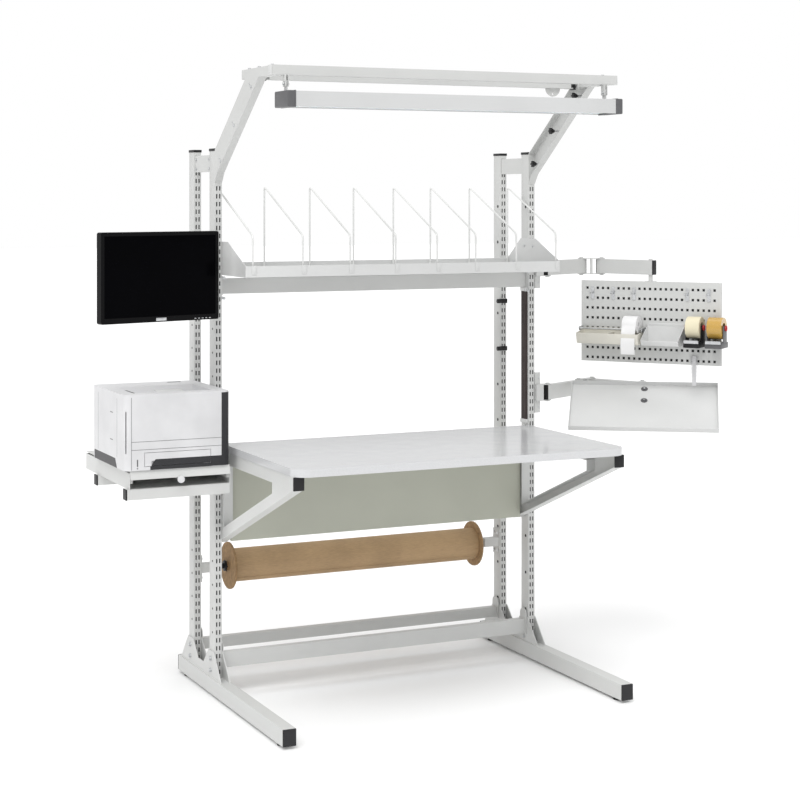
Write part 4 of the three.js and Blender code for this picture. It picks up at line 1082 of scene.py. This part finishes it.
def wrapStrip(bm, x1, y0, z0, z1, reach, along, thick):
    r = printer["cornerRadius"]
    centre = (x1 - r, y0 + r)
    steps = 10
    points = [(centre[0] - reach, y0)]
    for i in range(steps + 1):
        a = math.pi / 2 * i / steps
        points.append((centre[0] + r * math.sin(a), centre[1] - r * math.cos(a)))
    points.append((x1, centre[1] + along))
    inner, outer = [], []
    for i, (x, y) in enumerate(points):
        a, b = points[max(i - 1, 0)], points[min(i + 1, len(points) - 1)]
        tangent = Vector((b[0] - a[0], b[1] - a[1])).normalized()
        normal = Vector((tangent.y, -tangent.x))
        inner.append((x - normal.x * 2, y - normal.y * 2))
        outer.append((x + normal.x * thick, y + normal.y * thick))
    ring = [bm.verts.new((x * mm, y * mm, z0 * mm)) for x, y in outer + inner[::-1]]
    face = bm.faces.new(ring)
    raised = bmesh.ops.extrude_face_region(bm, geom=[face])["geom"]
    bmesh.ops.translate(bm, vec=(0, 0, (z1 - z0) * mm),
                        verts=[g for g in raised if isinstance(g, bmesh.types.BMVert)])


def printerPieces():
    p = printer
    low, high = nodeBox("printer")
    x0, y0, z0 = low
    x1, y1, z1 = high
    trayLow, trayHigh = nodeBox("paper_cassette")
    t = p["proud"]

    bm = bmesh.new()
    wrapStrip(bm, x1, y0, z0 + 1, z1 - 5, 10, 16, t)
    made = addBox(bm, (trayHigh[0] + 1, y0 - t, z0 + 1),
                  (x1 - p["cornerRadius"] - 9, y0 + 2, z0 + p["base"]))
    roundEdges(bm, made, 0.3, 1)
    made = addBox(bm, (x0 + 96, y0 - t, z0 + 0.2), (trayHigh[0] + 2, y0 + 2, trayLow[2] - 0.5))
    roundEdges(bm, made, 0.3, 1)
    made = addBox(bm, (x0 - t, y0 + 96, z0 + 0.6), (x0 + 2, y1 - 30, z0 + p["base"] - 4))
    for v in made:
        if v.co.y < (y0 + 98) * mm and v.co.z > (z0 + 10) * mm:
            v.co.y += 24 * mm
    roundEdges(bm, made, 0.3, 1)
    finishPiece("printer_dark_trim", bm, finish["printerDark"], "drawer", smooth=30)

    bm = bmesh.new()
    for z in (z0 + 74, z0 + 103):
        addBox(bm, (x0 + 26, y0 - 0.35, z), (x1 - p["cornerRadius"] - 10, y0 + 1, z + p["seam"]))
    addBox(bm, (x0 + 25, y0 - 0.4, z0 + 3), (x0 + 25 + p["seam"], y0 + 1, z1 - 10))
    slot = addBox(bm, (x0 + 46, y0 - 0.5, z0 + 14), (x0 + 50.5, y0 + 1, z0 + 40))
    roundEdges(bm, slot, 0.3, 1)
    addRod(bm, 2.4, 1.4, (x0 + 48, y0 - 0.1, z0 + 8), "y", 14)
    for z, y in ((z0 + 196, y0 + 150), (z0 + 96, y0 + 150)):
        pull = addBox(bm, (x0 - 0.5, y, z), (x0 + 1, y + 34, z + 3))
        roundEdges(bm, pull, 0.3, 1)
    for y in (y0 + 96, y1 - 80):
        addBox(bm, (x0 - 0.3, y, z0 + p["base"] + 2), (x0 + 1, y + 1, z1 - 20))
    addBox(bm, (x0 + 70, y1 - 1, z0 + 90), (x1 - 70, y1 + 0.5, z0 + 92))
    for i in range(3):
        port = addBox(bm, (x0 + 30, y1 - 1, z0 + 40 + i * 26), (x0 + 50, y1 + 0.5, z0 + 54 + i * 26))
        roundEdges(bm, port, 0.3, 1)
    finishPiece("printer_seams", bm, finish["capGrey"], "drawer")

    bm = bmesh.new()
    # dark block at the left end of the top recess is painted shade on the recess's side wall
    recessShade = addBox(bm, (x0 + 52, y0 + 62, z1 - 9), (x0 + 62, y0 + 180, z1 - 1))
    roundEdges(bm, recessShade, 1, 2)
    slotTop = addBox(bm, (x1 - 120, y1 - 46, z1 - 0.6), (x1 - 66, y1 - 38, z1 + 1))
    roundEdges(bm, slotTop, 0.5, 2)
    finishPiece("printer_output_parts_and_recess_shade", bm, finish["printerDark"], "drawer")

    bm = bmesh.new()
    stop = addBox(bm, (x0 + 150, y0 + 70, z1 - 7), (x1 - 150, y0 + 130, z1 - 4.5))
    for v in stop:
        if v.co.y > (y0 + 100) * mm:
            v.co.z += 6.4 * mm
    roundEdges(bm, stop, 0.8, 2)
    for i in range(3):
        made = addRod(bm, 5.5, 2.5, (x1 - 40, y0 + 44 + i * 22, z1 + 0.8), "z", 28)
        roundEdges(bm, made, 0.6, 2)
    finishPiece("printer_buttons", bm, finish["binGrey"], "drawer")

    bm = bmesh.new()
    grip = addBox(bm, (trayLow[0] + 24, trayLow[1] - t, trayLow[2] + 0.5),
                  (trayHigh[0] - 0.5, trayLow[1] + 0.6, z0 + p["base"]))
    for v in grip:
        if v.co.x < (trayLow[0] + 30) * mm and v.co.z > (trayLow[2] + 8) * mm:
            v.co.x += 16 * mm
    roundEdges(bm, grip, 0.3, 1)
    finishPiece("cassette_grip", bm, finish["printerDark"], "cassette")


printerPieces()
print("printer built")


# pull-out shelf: slides and the cover of its knob

def shelfDetails():
    low, high = nodeBox("printer_carrier")
    bm = bmesh.new()
    for x in (low[0] + 16, high[0] - 12):
        rail = addBox(bm, (x - 3, low[1] + 8, 862), (x + 3, high[1] - 12, 880))
        roundEdges(bm, rail, 1, 2)
    finishPiece("slide_members", bm, finish["zinc"], "drawer", bevel=0.2)
    bm = bmesh.new()
    middle = (low[0] + high[0]) / 2
    made = addRod(bm, 13, 10, (middle, low[1] - 18, 863), "y", 36)
    roundEdges(bm, made, 2.5, 3)
    finishPiece("drawer_knob_cover", bm, finish["printerWhite"], "drawer")


shelfDetails()


# details on the frame: black discs painted as shade in the holes, cable cover and its ends, cable clips,
# divider tabs

detail = {
    "panelHoles": (540, 566, 592), "sideX": 692.3, "innerX": 661.7, "holesY": (22, 264),
    "coverX": (655.5, 661.7), "coverY": (6, 50), "coverZ": (972, 1512), "ribsY": (14, 28, 42),
    "clipsZ": (1452, 1252), "tabsX": (-628, -430, -238, -49, 127, 294, 473, 652),
}


def frameDetails():
    d = detail
    # flat black discs on the faces are painted shade for the inside of the frame's holes
    bm = bmesh.new()
    for x in d["panelHoles"]:
        addRod(bm, 5, 1.2, (x, -0.5, 880), "y", 20)
    for side in (-1, 1):
        for z in (*range(1120, 1440, 90), *range(240, 560, 90)):
            for y in d["holesY"]:
                addRod(bm, 4, 1, (side * d["sideX"], y, z), "x", 16)
        for z in range(200, 2000, 150):
            for y in d["holesY"]:
                addRod(bm, 6, 1, (side * d["innerX"], y, z), "x", 18)
    finishPiece("frame_hole_painted_shade", bm, finish["black"], "station")
    bm = bmesh.new()
    x, y, z = d["coverX"], d["coverY"], d["coverZ"]
    cover = addBox(bm, (x[0], y[0], z[0]), (x[1], y[1], z[1]))
    roundEdges(bm, cover, 1.6, 2)
    for ribY in d["ribsY"]:
        rib = addBox(bm, (x[0] - 0.9, ribY - 1.2, z[0] + 2), (x[0] + 0.5, ribY + 1.2, z[1] - 2))
        roundEdges(bm, rib, 0.4, 1)
    finishPiece("cable_cover", bm, finish["umber"], "station")
    bm = bmesh.new()
    for endZ in z:
        clip = addBox(bm, (x[0] - 3, y[0] - 3, endZ - 8), (x[1], y[1] + 3, endZ + 8))
        roundEdges(bm, clip, 1.5, 2)
    finishPiece("cable_cover_ends", bm, finish["binGrey"], "station")
    bm = bmesh.new()
    for z in d["clipsZ"]:
        strap = addBox(bm, (655.5, 238, z - 9), (693.8, 241.7, z + 9))
        roundEdges(bm, strap, 1, 2)
        lug = addRod(bm, 9, 16, (652, 236, z), "x", 24)
        roundEdges(bm, lug, 1.5, 2)
    finishPiece("cable_clips", bm, finish["black"], "station")
    bm = bmesh.new()
    shelfLow = nodeBox("upper_shelf")[0]
    for x in d["tabsX"]:
        tab = addBox(bm, (x - 9, shelfLow[1] - 2.2, shelfLow[2] + 10),
                     (x + 9, shelfLow[1] - 0.2, shelfLow[2] + 43))
        roundEdges(bm, tab, 0.7, 2)
        addDomeBolt(bm, (x, shelfLow[1] - 2.2, shelfLow[2] + 20), "y", -1, radius=3.2, head=1.6)
    finishPiece("divider_tabs", bm, finish["shelf"], "station", bevel=0.2)


frameDetails()
print("details on")


# stage, light, camera

floorMesh = bmesh.new()
bmesh.ops.create_grid(floorMesh, x_segments=2, y_segments=2, size=60)
bmesh.ops.translate(floorMesh, vec=(0, 0, -0.0005), verts=floorMesh.verts)
floorData = bpy.data.meshes.new("studio_floor")
floorMesh.to_mesh(floorData)
floorMesh.free()
floor = bpy.data.objects.new("studio_floor", floorData)
bpy.context.scene.collection.objects.link(floor)
floorLook, nodes, links, shader, where = startMaterial("floorWhite")
shader.inputs["Base Color"].default_value = (0.95, 0.95, 0.95, 1)
shader.inputs["Roughness"].default_value = 0.85
floorData.materials.append(floorLook)

world = bpy.data.worlds.new("studio")
bpy.context.scene.world = world
world.use_nodes = True
worldNodes, worldLinks = world.node_tree.nodes, world.node_tree.links
worldNodes["Background"].inputs["Color"].default_value = (1, 1, 1, 1)
worldNodes["Background"].inputs["Strength"].default_value = 0.72
seen = worldNodes.new("ShaderNodeBackground")
seen.inputs["Color"].default_value = (1, 1, 1, 1)
seen.inputs["Strength"].default_value = 1.0
rays = worldNodes.new("ShaderNodeLightPath")
choose = worldNodes.new("ShaderNodeMixShader")
worldLinks.new(rays.outputs["Is Camera Ray"], choose.inputs["Fac"])
worldLinks.new(worldNodes["Background"].outputs["Background"], choose.inputs[1])
worldLinks.new(seen.outputs["Background"], choose.inputs[2])
worldLinks.new(choose.outputs["Shader"], worldNodes["World Output"].inputs["Surface"])


def softSun(name, direction, angle, strength):
    data = bpy.data.lights.new(name, "SUN")
    data.angle = math.radians(angle)
    data.energy = strength
    lampObject = bpy.data.objects.new(name, data)
    lampObject.rotation_euler = Vector(direction).to_track_quat("-Z", "Y").to_euler()
    bpy.context.scene.collection.objects.link(lampObject)


softSun("key", (0.55, 0.6, -1.0), 40, 1.5)
softSun("top", (-0.15, 0.1, -1.0), 60, 0.7)

view = {"place": (-2.970, -6.527, 1.887), "yaw": -25.06, "lens": 81.88, "shiftY": -0.2528}
camData = bpy.data.cameras.new("camera")
camData.lens = view["lens"]
camData.sensor_width = 36
camData.shift_y = view["shiftY"]
camData.dof.use_dof = False
camera = bpy.data.objects.new("camera", camData)
camera.location = home + Vector(view["place"])
camera.rotation_euler = (math.radians(90), 0, math.radians(view["yaw"]))
bpy.context.scene.collection.objects.link(camera)
bpy.context.scene.camera = camera
bpy.context.scene.view_settings.view_transform = "Standard"
print("stage set")
